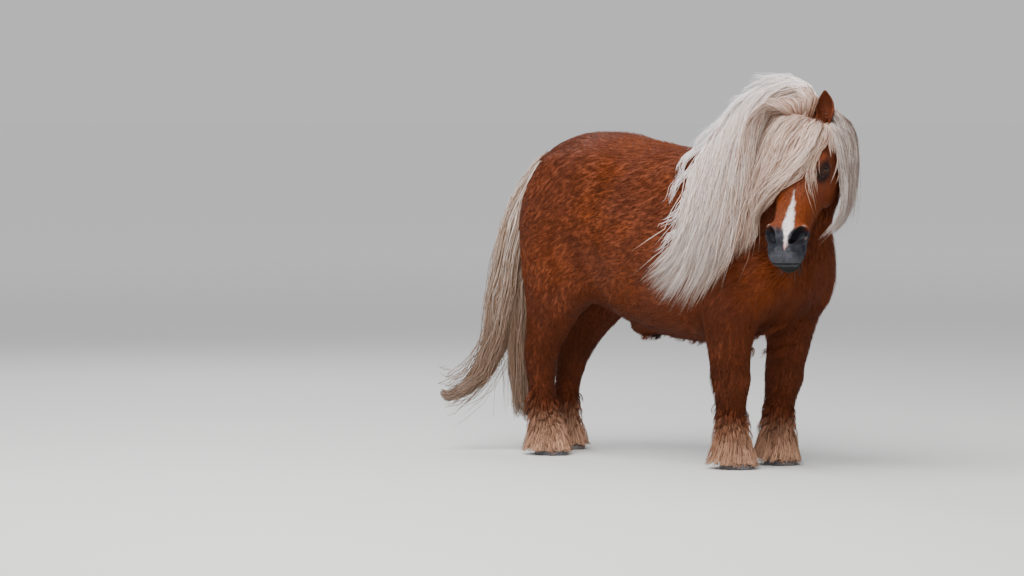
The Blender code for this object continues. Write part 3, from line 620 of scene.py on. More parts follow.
def weighted(made, name, weights, levels=16):
    """A vertex group, its weights kept to a few levels so that it is quick to fill."""
    group = made.vertex_groups.new(name=name)
    step = np.round(np.asarray(weights) * levels).astype(int)
    for level in range(1, levels + 1):
        group.add(np.flatnonzero(step == level).tolist(), level / levels, "REPLACE")
    return name


def softened(made, iterations, group=""):
    soften = made.modifiers.new("soften", "SMOOTH")
    soften.factor = 0.5
    soften.iterations = iterations
    soften.vertex_group = group


def face_share(places):
    """1 on the face, falling to 0 at the back of the head."""
    along, depth, side = head_parts(places)
    jaw = 0.56 - 0.20 * np.clip(along - 0.3, 0, 1)
    before_jaw = np.clip((jaw - depth) / 0.06, 0, 1)
    between_sides = np.clip((0.36 - np.abs(side)) / 0.06, 0, 1)
    within = before_jaw * between_sides * (along < 1.1)
    return np.clip((along - 0.55 * depth + 0.10) / 0.15, 0, 1) * within


def leg_share(places):
    """1 on the legs, falling to 0 where they join the body."""
    return np.clip((0.46 - np.asarray(places)[:, 2]) / 0.10, 0, 1)


FIRST_VOXEL = 0.008
first_parts += head_bumps() + body_bumps() + [leg(name) for name in HOOF_PLACES]
first = melted("first_skin", first_parts, FIRST_VOXEL)
places = points_of(first)
softened(first, 60, weighted(first, "body", (1 - face_share(places)) * (1 - 0.92 * leg_share(places))))
softened(first, 5)
settled(first)
print("first skin:", len(first.data.vertices), "points")

# %% [markdown]
# Hooves are capsules of horn: they slope forward to the toe, are lower at the heel, stand flat, and grow
# in rings that show as faint ridges. The ridges are in the mesh, since they catch the light at the edge.

# %% Hooves
HOOF_HEIGHT = 0.052
GAP = 0.0003
GROWTH_RINGS = 9


def coronet_height(place, forward):
    """Where a hoof's top lies: it falls from toe to heel."""
    return HOOF_HEIGHT - 0.16 * (place + 0.045 - forward)


def hoof(name):
    left, forward = HOOF_PLACES[name]
    turn = np.linspace(0, 2 * math.pi, 56, endpoint=False)
    ahead, across = np.cos(turn), np.sin(turn)
    rings = []
    for share in [0.0, 0.03] + list(np.linspace(0.08, 1.0, 5 * GROWTH_RINGS)):
        ridge = 0.0005 * math.cos(2 * math.pi * share * GROWTH_RINGS) * (0.4 + 0.6 * share)
        inset = 0.003 if share == 0.0 else 0.0008 if share == 0.03 else 0.0
        length = np.where(ahead > 0, 0.062, 0.046) - 0.014 * share + ridge - inset
        width = 0.050 - 0.007 * share + ridge - inset
        s = forward + 0.006 * (1 - share) + ahead * length
        x = left + across * width * (1 - 0.06 * ahead)
        rings.append(np.stack([x, -s, coronet_height(forward, s) * share], axis=1))
    made = skin_rings("horn_" + name, rings)
    made.data.shade_smooth()
    return made


hooves = {name: hoof(name) for name in HOOF_PLACES}
print("hooves:", {name: len(made.data.polygons) for name, made in hooves.items()})


def searchable(pieces):
    """One search tree over several meshes."""
    work = bmesh.new()
    for piece in pieces:
        work.from_mesh(piece.data)
    tree = BVHTree.FromBMesh(work)
    work.free()
    return tree


outside = searchable([first] + list(hooves.values()))

# %% [markdown]
# An eye is a ball that sits deep in its socket and shows between two lids. The solids have it at the right
# place, so the ball's middle is read from them. The cornea bulges a little, and each point keeps its
# place on the ball, from which the finish draws the iris and the level pupil of a horse.

# %% Eyeballs
EYE_RADIUS = 0.0185
SOCKET_GAP = 0.0006
eye_centres = {}
for name in ("eye_left", "eye_right"):
    low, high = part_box(name)
    eye_centres[name] = np.array((low + high) / 2 - SHIFT)


def eye_directions(side):
    """Outward, up and fore of one eye."""
    outward = unit(EARWARD * side * 0.80 + BROWWARD * 0.58 - NOSEWARD * 0.05)
    up = -NOSEWARD + BROWWARD * 0.35
    up = unit(up - outward * (up @ outward))
    return outward, up, np.cross(up, outward)


def eyeball(name, side):
    outward, up, fore = eye_directions(side)
    made = ball(name, (0, 0, 0), np.eye(3), 5)
    shell = points_of(made)
    bulge = 1 + 0.045 * np.exp(-((1 - shell @ outward) / 0.16) ** 2)
    centre = eye_centres["eye_" + name[5:]]
    made.data.vertices.foreach_set("co", (centre + shell * EYE_RADIUS * bulge[:, None]).ravel())
    gaze_places = made.data.attributes.new("gaze", "FLOAT_VECTOR", "POINT")
    on_ball = np.stack([shell @ fore, shell @ up, shell @ outward], axis=1)
    gaze_places.data.foreach_set("vector", on_ball.ravel())
    made.data.shade_smooth()
    return made


EYE_SIDES = {"eye_left": 1, "eye_right": -1}
eyes = [eyeball("ball_" + name[4:], side) for name, side in EYE_SIDES.items()]
print("eyes at", {name: [round(v, 3) for v in centre] for name, centre in eye_centres.items()})

# %% [markdown]
# Lids are folds of skin that lie over the ball, thick in the middle and thin at the corners. Ears are cupped
# leaves: a horn of crescents that open forward and close to a tip. Both join the first skin in a second,
# finer melt, so that skin runs into them without a seam.

# %% Lids and ears
EAR_LENGTH = 0.104


def lid(centre, side, upper):
    outward, up, fore = eye_directions(side)
    opening, thick = (0.78, 0.0056) if upper else (-0.80, 0.0050)
    rings = []
    for a in np.linspace(-1.20, 1.20, 21):
        lift = opening * math.cos(a * 1.25)
        place = unit(outward * math.cos(a) * math.cos(lift) + fore * math.sin(a) + up * math.sin(lift))
        size = thick * (0.45 + 0.55 * math.cos(a))
        across = unit(np.cross(place, fore))
        middle = centre + place * (EYE_RADIUS + SOCKET_GAP)
        rings.append([middle + place * size * math.cos(b) + across * size * 1.7 * math.sin(b)
                      for b in np.linspace(0, 2 * math.pi, 12, endpoint=False)])
    return skin_rings("lid", rings)


def ear_line(side, outward, back):
    """Where an ear starts, which way it rises, where it faces and what lies across it."""
    rise = unit(-NOSEWARD * 0.75 + BROWWARD * (0.50 - back) + EARWARD * side * outward)
    face = BROWWARD + EARWARD * side * 0.12
    face = unit(face - rise * (face @ rise))
    return on_head(0.020, 0.115, side * 0.110), rise, face, np.cross(rise, face)


def ear(name, line):
    base, rise, face, across = line
    rows = smooth_rows([
        # up the ear, radius, how far the sides wrap round, wall thickness, forward curl
        (-0.14, 0.019, 2.6, 0.0185, 0.000),
        (0.06, 0.021, 2.5, 0.0180, 0.000),
        (0.25, 0.0255, 2.15, 0.0085, 0.001),
        (0.48, 0.0275, 1.80, 0.0060, 0.003),
        (0.70, 0.0235, 1.55, 0.0056, 0.006),
        (0.88, 0.0140, 1.35, 0.0052, 0.011),
        (1.00, 0.0060, 1.20, 0.0048, 0.016),
    ], 26)
    rings = []
    for up, radius, wrap, wall, curl in rows:
        turn = np.linspace(-wrap, wrap, 19)[:, None]
        centre = base + rise * EAR_LENGTH * up + face * curl
        outer = centre - face * radius * np.cos(turn) + across * radius * np.sin(turn)
        inner = centre - face * (radius - wall) * np.cos(turn) + across * (radius - wall) * np.sin(turn)
        rings.append(np.concatenate([outer, inner[::-1]]))
    return skin_rings(name, rings)


EARS = {"ear_left": ear_line(1, 0.04, 0.05), "ear_right": ear_line(-1, 0.35, 0.55)}


def ear_share(places):
    """1 on the ears, 0 off them."""
    share = np.zeros(len(places))
    for base, rise, _, _ in EARS.values():
        away = places - base
        height = away @ rise
        off = np.linalg.norm(away - np.outer(height, rise), axis=1)
        share = np.maximum(share, rising(height, 0.016, 0.036) * (off < 0.036) * (height < 0.13))
    return share


DOCK = [(0.000, -0.440, 0.915), (0.000, -0.505, 0.900), (-0.006, -0.540, 0.850), (-0.014, -0.552, 0.780),
        (-0.022, -0.556, 0.700)]


def dock():
    """The fleshy root of the tail."""
    rows = [(at(l, s + r, up + r * 0.4), at(l, s - r, up - r * 0.4), r, 2.0, 0.0)
            for (l, s, up), r in zip(DOCK, (0.036, 0.034, 0.028, 0.022, 0.012))]
    return loft("dock", rows, 16, 20)


print("ears rise from", {name: line[0].round(3).tolist() for name, line in EARS.items()})

# %% [markdown]
# The second melt has cells small enough for lids and ears. After it the body, which needs far fewer
# triangles than the face, is thinned.

# %% The skin
FINE_VOXEL = 0.0025
SKIN_TRIANGLES = 190000


def head_share(places):
    """1 on the face and the ears, where shapes are small."""
    return np.maximum(face_share(places), ear_share(places))


rounder = first.modifiers.new("rounder", "SUBSURF")
rounder.levels = 1
rounder.render_levels = 1
settled(first)
fine = [head_core(88, 72)] + head_bumps() + [ear(name, line) for name, line in EARS.items()] + [dock()]
fine += [lid(eye_centres[name], side, upper) for name, side in EYE_SIDES.items() for upper in (True, False)]
skin = melted("skin", [first] + fine, FINE_VOXEL)

softened(skin, 6, weighted(skin, "settle", 1 - 0.7 * head_share(points_of(skin))))
softened(skin, 2)
settled(skin)
keep = head_share(points_of(skin))
skin.vertex_groups.clear()
thin = skin.modifiers.new("thin", "DECIMATE")
skin.data.calc_loop_triangles()
thin.ratio = SKIN_TRIANGLES / len(skin.data.loop_triangles)
thin.vertex_group = weighted(skin, "body", 1 - 0.97 * keep)
thin.use_collapse_triangulate = True
settled(skin)
skin.vertex_groups.clear()
print("skin:", len(skin.data.polygons), "triangles")

# %% [markdown]
# A coat has depth, so the skin lies that far inside the solids: about 6 mm on the trunk, less on the legs
# and next to nothing on the face and ears. Furrows and folds are pressed in along lines: the flank, the
# thigh, the shoulder, the lips, and the wrinkles over the eyes.

# %% Coat depth, furrows and folds


COAT_ON_BODY = 0.006
COAT_ON_HEAD = 0.0008


def coat_depth(places):
    """How far the coat stands off the skin."""
    head = head_share(places)
    return (COAT_ON_BODY * (1 - 0.45 * leg_share(places))) * (1 - head) + COAT_ON_HEAD * head


def near_line(places, line, spots=40):
    """How far places are from a line through a few points."""
    drawn = smooth_rows(line, spots)
    best = np.full(len(places), 1.0)
    for spot in drawn:
        best = np.minimum(best, np.linalg.norm(places - spot, axis=1))
    return best


def pressed(places, normals, line, depth, width):
    """Places moved in by a depth along a line and fading over a width; a depth below 0 raises a ridge."""
    share = np.exp(-(near_line(places, line) / width) ** 2)
    return places - normals * (depth * share)[:, None]


def body_lines():
    """Furrows of the body, each with its line, its depth and its width: flank, stifle, shoulder and thigh."""
    made = []
    for side in (-1, 1):
        x = 0.20 * side
        made.append(([at(x, -0.150, 0.82), at(x, -0.165, 0.74), at(x * 0.95, -0.155, 0.64),
                      at(x * 0.9, -0.13, 0.56)], 0.010, 0.026))
        made.append(([at(x, -0.300, 0.74), at(x, -0.322, 0.66), at(x * 0.95, -0.318, 0.58)], 0.010, 0.026))
        made.append(([at(x, 0.205, 0.80), at(x * 1.05, 0.200, 0.68), at(x, 0.215, 0.56)], 0.006, 0.035))
        made.append(([at(x * 0.4, -0.50, 0.70), at(x * 0.5, -0.50, 0.58), at(x * 0.55, -0.47, 0.50)],
                     0.008, 0.025))
    return made


def face_lines():
    """Folds of the face in the head's own parts."""
    corner = 0.150
    made = [([on_head(0.820, 0.205, -corner), on_head(0.900, 0.190, -0.110), on_head(0.985, 0.170, -0.050),
              on_head(1.005, 0.165, 0.0), on_head(0.985, 0.170, 0.050), on_head(0.900, 0.190, 0.110),
              on_head(0.820, 0.205, corner)], 0.0055, 0.0038)]
    for side in (-1, 1):
        made.append(([on_head(0.250, 0.060, side * 0.150), on_head(0.290, 0.030, side * 0.165),
                      on_head(0.350, 0.050, side * 0.190)], 0.0022, 0.0030))
        made.append(([on_head(0.230, 0.080, side * 0.160), on_head(0.265, 0.030, side * 0.150)],
                     0.0018, 0.0030))
        made.append(([on_head(0.400, 0.150, side * 0.190), on_head(0.480, 0.150, side * 0.170),
                      on_head(0.560, 0.160, side * 0.145)], -0.0030, 0.0080))
        made.append(([on_head(0.660, 0.110, side * 0.130), on_head(0.740, 0.140, side * 0.135),
                      on_head(0.830, 0.170, side * 0.130)], 0.0030, 0.0070))
        made.append(([on_head(0.870, 0.040, side * 0.030), on_head(0.925, 0.060, side * 0.030)],
                     0.0016, 0.0035))
    return made


places = points_of(skin)
normals = normals_of(skin)
depths = coat_depth(places)
places = places - normals * depths[:, None]
for line, depth, width in body_lines() + face_lines():
    places = pressed(places, normals, line, depth, width)
skin.data.vertices.foreach_set("co", places.astype(np.float32).ravel())
skin.data.update()
print("coat depth from", depths.min().round(4), "to", depths.max().round(4))

# %% [markdown]
# Eye sockets, nostrils and the room under the coronets are cut out of the skin, and the edges of the cuts
# are softened. A Boolean is quick and sure here, because skin and cutters are closed. The nostril of a
# pony is a comma: a round hollow above and outside, and a slit below and inside.

# %% Sockets, nostrils and coronets


def combined(made, operation, others):
    """A Boolean of one object with several, which are used up."""
    operands = bpy.data.collections.new("operands")
    bpy.context.scene.collection.children.link(operands)
    for other in others:
        operands.objects.link(other)
    step = made.modifiers.new("step", "BOOLEAN")
    step.operation = operation
    step.operand_type = "COLLECTION"
    step.collection = operands
    step.solver = "MANIFOLD"
    settled(made)
    for other in list(operands.objects):
        bpy.data.objects.remove(other, do_unlink=True)
    bpy.data.collections.remove(operands)
    return made


def nostril(side):
    """The hollows of one nostril: a round one above and outside, a slit below and inside."""
    return [
        head_ball("nostril", 0.812, 0.045, side * 0.102, 0.062, 0.075, 0.036, side * 0.80),
        head_ball("nostril", 0.860, 0.058, side * 0.070, 0.042, 0.058, 0.019, side * 0.90),
    ]


def below_coronet(name):
    """All that lies under the leg's end: the leg stops a gap above the hoof."""
    left, forward = HOOF_PLACES[name]
    reach = 0.12
    corners = [at(left + dx, forward + ds, coronet_height(forward, forward + ds) + GAP)
               for dx, ds in ((-reach, -reach), (reach, -reach), (reach, reach), (-reach, reach))]
    return skin_rings("below_coronet", [np.array(corners), np.array(corners) + DOWN * 0.2])


def near_any(places, spots, reach):
    """1 near some spots, falling to 0 at the reach."""
    away = np.min([np.linalg.norm(places - spot, axis=1) for spot in spots], axis=0)
    return 1 - rising(away, reach * 0.6, reach)


cuts = [ball("socket", eye_centres[name], np.eye(3) * (EYE_RADIUS + SOCKET_GAP), 4) for name in EYE_SIDES]
cuts += nostril(1) + nostril(-1)
combined(skin, "DIFFERENCE", cuts)
combined(skin, "DIFFERENCE", [below_coronet(name) for name in HOOF_PLACES])
places = points_of(skin)
rims = [on_head(0.798, 0.02, side * 0.110) for side in (-1, 1)]
rims += [on_head(0.850, 0.03, side * 0.070) for side in (-1, 1)]
softened(skin, 3, weighted(skin, "rims", near_any(places, rims, 0.045)))
softened(skin, 1, weighted(skin, "sockets", near_any(places, list(eye_centres.values()), 0.026)))
settled(skin)
skin.vertex_groups.clear()
skin.data.shade_smooth()
low = points_of(skin).min(axis=0)
high = points_of(skin).max(axis=0)
print("skin from", low.round(3), "to", high.round(3), "with", len(skin.data.polygons), "triangles")

# %% [markdown]
# Hair export drops particle hair, so all hair here is mesh: thin, closed, three-sided strands that taper
# to a point. One function makes many at once from arrays of paths. Each strand remembers where it is
# rooted, how far along it a point is, and a tone of its own, and the finishes read those. It also has a
# small patch of the texture map at its root's place.

# %% Many strands in one mesh
PATCH = 0.003


def put(mesh, name, kind, values):
    layer = mesh.attributes.new(name, kind, "POINT")
    field = "vector" if kind == "FLOAT_VECTOR" else "value"
    layer.data.foreach_set(field, np.asarray(values, np.float32).ravel())


def strand_mesh(name, paths, across, out, half, deep, tones, chart):
    """Closed tapering strands with three sides, each running out to a point.

    Paths are (strands, stations, 3); half and deep, the half widths across and off the skin, are
    (strands, stations - 1); the chart is each strand's place on the texture map.
    """
    count, stations = paths.shape[:2]
    rings = paths[:, :-1, None, :] + np.stack(
        [across * half[..., None], out * deep[..., None], -across * half[..., None]], axis=2)
    points = np.concatenate([rings.reshape(count, -1, 3), paths[:, -1:]], axis=1)
    per = points.shape[1]
    loops, sizes = [], []
    for k in range(stations - 2):
        for c in range(3):
            n = (c + 1) % 3
            loops += [3 * k + c, 3 * k + 3 + c, 3 * k + 3 + n, 3 * k + n]
            sizes.append(4)
    last = 3 * (stations - 2)
    for c in range(3):
        loops += [last + c, per - 1, last + (c + 1) % 3]
        sizes.append(3)
    loops += [0, 1, 2]
    sizes.append(3)
    loops = np.array(loops)
    all_loops = (loops[None, :] + per * np.arange(count)[:, None]).ravel()
    all_sizes = np.tile(sizes, count)
    mesh = bpy.data.meshes.new(name)
    mesh.vertices.add(count * per)
    mesh.vertices.foreach_set("co", points.astype(np.float32).ravel())
    mesh.loops.add(len(all_loops))
    mesh.loops.foreach_set("vertex_index", all_loops.astype(np.int32))
    mesh.polygons.add(len(all_sizes))
    starts = np.concatenate([[0], np.cumsum(all_sizes)[:-1]])
    mesh.polygons.foreach_set("loop_start", starts.astype(np.int32))
    mesh.update(calc_edges=True)
    mesh.shade_smooth()
    along = np.concatenate([np.repeat(np.arange(stations - 1) / (stations - 1), 3), [1.0]])
    corner = np.concatenate([np.tile([0.0, 0.5, 1.0], stations - 1), [0.5]])
    put(mesh, "root", "FLOAT_VECTOR", np.repeat(paths[:, 0], per, axis=0))
    put(mesh, "along", "FLOAT", np.tile(along, count))
    put(mesh, "tone", "FLOAT", np.repeat(tones, per))
    patch = np.stack([corner, 0.15 * (corner == 0.5) + 0.85 * along], axis=1) * PATCH
    spots = (chart[:, None, :] * (1 - PATCH) + patch[None]).reshape(-1, 2)
    layer = mesh.uv_layers.new(name="OFBake")
    layer.uv.foreach_set("vector", spots[all_loops].astype(np.float32).ravel())
    triangles = int((all_sizes - 2).sum())
    print(f"{name}: {count} strands, {triangles} triangles")
    return linked(name, mesh)


# %% [markdown]
# The coat grows from the skin in small flat tufts. Roots are sown over the skin by area, and each tuft
# lies the way a pony's hair lies: back and down over the body, down the legs, down the face. Smooth
# random turns part the lie into swirls, and neighbours lean together to one point, as real hair clumps.

# %% The lie of the coat


def soft_noise(places, size, seed, channels=3):
    """Numbers that change smoothly over places, at about this size: waves in seeded directions."""
    draw = np.random.default_rng(seed)
    waves = 9
    ways = draw.normal(size=(channels, waves, 3)) / size
    turns = draw.uniform(0, 2 * math.pi, (channels, waves))
    return np.sin(np.einsum("nd,cwd->ncw", places, ways) + turns).sum(-1) / math.sqrt(waves / 2)


def flat_on(ways, normals):
    """Directions laid flat on the skin."""
    return unit(ways - normals * (ways * normals).sum(1)[:, None])


def leg_near(places):
    """1 on a leg, falling to 0 where the leg runs into the body."""
    left, forward, up = np.abs(places[:, 0]), -places[:, 1], places[:, 2]
    fore = (forward > 0.17) & (forward < 0.46) & (left > 0.055)
    hind = (forward < -0.17) & (left > 0.03)
    upper = (fore | hind) * rising(0.56 - up, 0, 0.14)
    return np.where(up < 0.35, 1.0, upper) * (forward < 0.5)


def coat_ways(places, normals):
    forward, up = -places[:, 1], places[:, 2]
    depth = head_parts(places)[1]
    face = face_share(places)[:, None]
    on_leg = leg_near(places)[:, None]
    rump = rising(-forward, 0.20, 0.45)[:, None]
    neck = (rising(forward, 0.25, 0.40) * rising(up, 0.62, 0.75))[:, None]
    trunk_way = at(0, -1, -0.55) * (1 - rump) + at(0, -0.35, -1) * rump
    way = trunk_way * (1 - neck) + at(0, -0.45, -1) * neck
    way = way * (1 - on_leg) + at(0, -0.12, -1) * on_leg
    cheek = rising(depth, 0.10, 0.30)[:, None]
    face_way = NOSEWARD * (1 - 0.3 * cheek) - BROWWARD * 0.5 * cheek
    way = way * (1 - face) + face_way * face
    ears = ear_share(places)[:, None]
    way = way * (1 - ears) - NOSEWARD * ears
    turn = soft_noise(places, 0.070, 3) * 0.15 + soft_noise(places, 0.022, 4) * 0.06
    return flat_on(unit(way) + turn * (1 - 0.6 * face), normals)


# %% [markdown]
# A winter coat isn't one length. It is shaggy on chest, neck and shoulder and hangs below the breastbone,
# is long on the backs of the legs, and is like velvet on face and ears.

# %% Coat lengths
HEAD_TUFT = 0.0075


def chest_share(places):
    """1 on the chest, the neck and the shoulder, where the coat is loosest, falling to 0 round them."""
    forward, up = -places[:, 1], places[:, 2]
    return rising(forward, 0.16, 0.34) * rising(up, 0.36, 0.50) * (1 - face_share(places))


def coat_length(places, normals):
    """Tuft lengths: longest below the breastbone, on the chest and on the backs of the legs."""
    forward, up = -places[:, 1], places[:, 2]
    head = head_share(places)
    on_leg = leg_near(places)
    length = 0.024 + 0.014 * rising(-normals[:, 2], 0.2, 0.8) * rising(0.60 - up, 0, 0.15)
    leg_length = 0.020 + 0.010 * rising(normals[:, 1], 0.2, 0.9) + 0.008 * rising(0.26 - up, 0, 0.10)
    length = length * (1 - on_leg) + leg_length * on_leg
    between_legs = rising(forward, 0.16, 0.26) * (1 - rising(forward, 0.44, 0.50))
    breast_bone = between_legs * rising(-normals[:, 2], 0.4, 0.8)
    length = length + 0.026 * breast_bone * (np.abs(places[:, 0]) < 0.07) * (1 - on_leg)
    length = length + 0.012 * chest_share(places)
    return length * (1 - head) + HEAD_TUFT * head


print("tuft below the breastbone:", coat_length(at(0.05, 0.40, 0.55)[None], at(0, 0.3, -0.95)[None]).round(3))

# %% [markdown]
# Roots are drawn by area, with more of them on face, ears and legs, where tufts are small, and fewer on
# the bare muzzle. None grows in an eye or a nostril.

# %% Where the tufts grow
EYE_CLEAR = 0.004
NOSTRIL_CLEAR = 0.018
SLIT_CLEAR = 0.014
COAT_SEED = 21



def grown_coat(count, seed):
    """Roots and normals of that many tufts, and the draw that sowed them, denser on face and legs where they
    are small.
    """
    skin.data.calc_loop_triangles()
    corners = np.empty(len(skin.data.loop_triangles) * 3, np.int32)
    skin.data.loop_triangles.foreach_get("vertices", corners)
    corners = corners.reshape(-1, 3)
    points, normals = points_of(skin), normals_of(skin)
    a, b, c = (points[corners[:, k]] for k in range(3))
    area = np.linalg.norm(np.cross(b - a, c - a), axis=1) / 2
    middle = (a + b + c) / 3
    density = 1 + 2.2 * face_share(middle) + 1.0 * ear_share(middle) + 0.7 * leg_near(middle)
    along, depth, side = head_parts(middle)
    density = density * np.where((along > 0.80) & (depth < 0.3) & (np.abs(side) < 0.3), 0.3, 1.0)
    draw = np.random.default_rng(seed)
    reach = np.cumsum(area * density)
    chosen = np.searchsorted(reach, draw.uniform(0, reach[-1], count))
    shares = draw.dirichlet((1, 1, 1), count)
    roots = (points[corners[chosen]] * shares[..., None]).sum(1)
    outs = unit((normals[corners[chosen]] * shares[..., None]).sum(1))
    return roots, outs, draw


COAT_TUFTS = 136000
roots, outs, draw = grown_coat(COAT_TUFTS, COAT_SEED)
clear = np.ones(len(roots), bool)
for name, centre in eye_centres.items():
    clear &= np.linalg.norm(roots - centre, axis=1) > EYE_RADIUS + EYE_CLEAR
for side in (-1, 1):
    clear &= np.linalg.norm(roots - on_head(0.798, 0.045, side * 0.110), axis=1) > NOSTRIL_CLEAR
    clear &= np.linalg.norm(roots - on_head(0.850, 0.055, side * 0.070), axis=1) > SLIT_CLEAR
roots, outs = roots[clear], outs[clear]
ways = coat_ways(roots, outs)
lengths = coat_length(roots, outs) * draw.uniform(0.75, 1.2, len(roots))
print("coat roots:", len(roots), "lengths", lengths.min().round(4), "to", lengths.max().round(4))

# %% [markdown]
# A tuft leaves the skin at a slant and lies nearly flat, so a thin spike from root to tip is enough. Tufts
# of a clump share a point that their tips draw to, and each tip is then set at its own height over the
# skin, so that none dips into it where the body curves.

# %% Tufts of the coat
CLUMP_EVERY = 12
CLUMP_PULL = 0.40
TUFT_SLANT = 0.20
TUFT_SUNK = 0.0008
LOWEST_TUFT = 0.006
skin_tree = searchable([skin])


def tuft_paths(roots, outs, ways, lengths):
    """Root and tip of each tuft, its root a little under the skin."""
    shaggy = leg_near(roots)[:, None] * 0.6 + rising(0.30 - roots[:, 2], 0, 0.1)[:, None] * 0.5
    shaggy = shaggy + 0.8 * chest_share(roots)[:, None]
    lift = TUFT_SLANT * (1 + shaggy + 0.5 * soft_noise(roots, 0.03, 6, 1)[:, 0:1]).clip(0.35, 3.0)
    reach = lengths[:, None]
    tips = roots + ways * reach + outs * reach * lift * 0.75
    tree = KDTree(len(roots) // CLUMP_EVERY + 1)
    for k, spot in enumerate(roots[::CLUMP_EVERY]):
        tree.insert(spot, k)
    tree.balance()
    nearest = np.array([tree.find(spot)[1] for spot in roots])
    shared = tips[::CLUMP_EVERY][nearest]
    pull = np.clip(1 - np.linalg.norm(shared - tips, axis=1) / (1.2 * lengths), 0, 1)[:, None] * CLUMP_PULL
    tips = tips * (1 - pull) + shared * pull
    heights = 0.0012 + lengths * lift[:, 0] * 0.6
    for k, (tip, height) in enumerate(zip(tips, heights)):
        spot, normal, _, _ = skin_tree.find_nearest(Vector(tip))
        normal = np.array(normal)
        tips[k] = tip + normal * (height - (tip - np.array(spot)) @ normal)
    return np.stack([roots - outs * TUFT_SUNK, tips], axis=1)


paths = tuft_paths(roots, outs, ways, lengths)
paths[..., 2] = paths[..., 2].clip(LOWEST_TUFT)
print("tufts:", len(paths), "lowest point", paths[..., 2].min().round(4))

# %% [markdown]
# The coat is parted into pieces by region, so that none is too heavy, and each piece has a map drawn from
# the shape of its own region: round it one way and along it the other.

# %% Pieces of the coat


def coat_region(places):
    """Which piece of the coat a root belongs to."""
    forward, up = -places[:, 1], places[:, 2]
    region = np.where(forward < -0.16, 0, np.where(forward < 0.10, 1, 2))
    region = np.where((forward > 0.30) & (up > 0.66), 3, region)
    region = np.where(leg_near(places) > 0.5, np.where(forward > 0, 4, 5), region)
    face = (face_share(places) > 0.02) | (ear_share(places) > 0.2)
    return np.where(face, 6, region)


COAT_PIECES = ["coat_rump", "coat_barrel", "coat_shoulder", "coat_neck", "coat_legs_fore", "coat_legs_hind",
               "coat_head"]


def coat_chart(places, region):
    """An unwrap of a region: round it one way, along it the other."""
    forward, up, left = -places[:, 1], places[:, 2], places[:, 0]
    round_trunk = np.arctan2(left, 0.68 - up) / (2 * math.pi) + 0.5
    if region in (4, 5):
        middle = 0.30 if region == 4 else -0.45
        leg_turn = np.arctan2(forward - middle, np.abs(left) - 0.11) / (2 * math.pi) + 0.5
        return np.stack([(leg_turn + (left > 0)) / 2, up / 0.53], axis=1)
    if region == 6:
        along, depth, side = head_parts(places)
        return np.stack([np.arctan2(side, 0.2 - depth) / (2 * math.pi) + 0.5, (along + 0.35) / 1.4], axis=1)
    if region == 3:
        return np.stack([np.arctan2(left, 0.50 - forward) / (2 * math.pi) + 0.5, (up - 0.6) / 0.5], axis=1)
    start = (-0.56, -0.16, 0.10)[region]
    length = (0.40, 0.26, 0.45)[region]
    return np.stack([round_trunk, (forward - start) / length], axis=1)


TUFT_HALF = 0.0011
TUFT_HALF_MORE = 0.0005
region = coat_region(roots)
half = (TUFT_HALF + TUFT_HALF_MORE * draw.random(len(roots))) * (1 - 0.55 * head_share(roots))
tones = (0.5 + 0.12 * draw.normal(size=len(roots)) + 0.06 * soft_noise(roots, 0.012, 8, 1)[:, 0]).clip(0, 1)
coat = []
for index, name in enumerate(COAT_PIECES):
    mine = region == index
    run = unit(paths[mine, 1] - paths[mine, 0])
    across = unit(np.cross(run, outs[mine]))[:, None, :]
    out = unit(np.cross(across[:, 0], run))[:, None, :]
    width = half[mine][:, None]
    chart = coat_chart(roots[mine], index).clip(0, 1)
    coat.append(strand_mesh(name, paths[mine], across, out, width, width * 0.45, tones[mine], chart))

# %% [markdown]
# Long hair is laid lock by lock along paths that are kept clear of the flesh. A simple fall leaves its
# root one way and bends to fall another. Hair that the wind shapes, as in the mane, can't be had from one
# bend, so its paths lie between a few listed lines.

# %% A path of falling hair
HAIR_SEED = 11
LOWEST_PATH = 0.014
COMB_STEPS = 31
COMB_ROOT_SHARE = 0.3
COMB_CLEAR = 0.004
COMB_SUNK = 0.010
rng = random.Random(HAIR_SEED)


def lifted(place, height):
    """A point moved off the flesh until it is at least this far outside it."""
    spot, normal, _, _ = outside.find_nearest(Vector(place))
    spot, normal = np.array(spot), np.array(normal)
    if (place - spot) @ normal < height:
        place = spot + normal * height
    return place, normal


def drape(root, rise, fall, length, steps, height, bend=0.45, sunk=0.014):
    """A path that leaves its root one way and bends to fall another, and the ways that face off the flesh."""
    heading = unit(rise)
    normal = lifted(root, 0)[1]
    path, lie = [root - normal * sunk], [normal]
    place = np.array(root)
    for _ in range(steps):
        heading = unit(heading * (1 - bend) + unit(fall) * bend)
        place, normal = lifted(place + heading * length / steps, height)
        place[2] = max(place[2], LOWEST_PATH)
        heading = unit(place - path[-1])
        path.append(place)
        lie.append(unit(0.5 * lie[-1] + normal))
    return np.array(path), np.array(lie)


def on_surface(place):
    return np.array(outside.find_nearest(Vector(place))[0])


def mixed(a, b, share):
    return np.asarray(a) * (1 - share) + np.asarray(b) * share


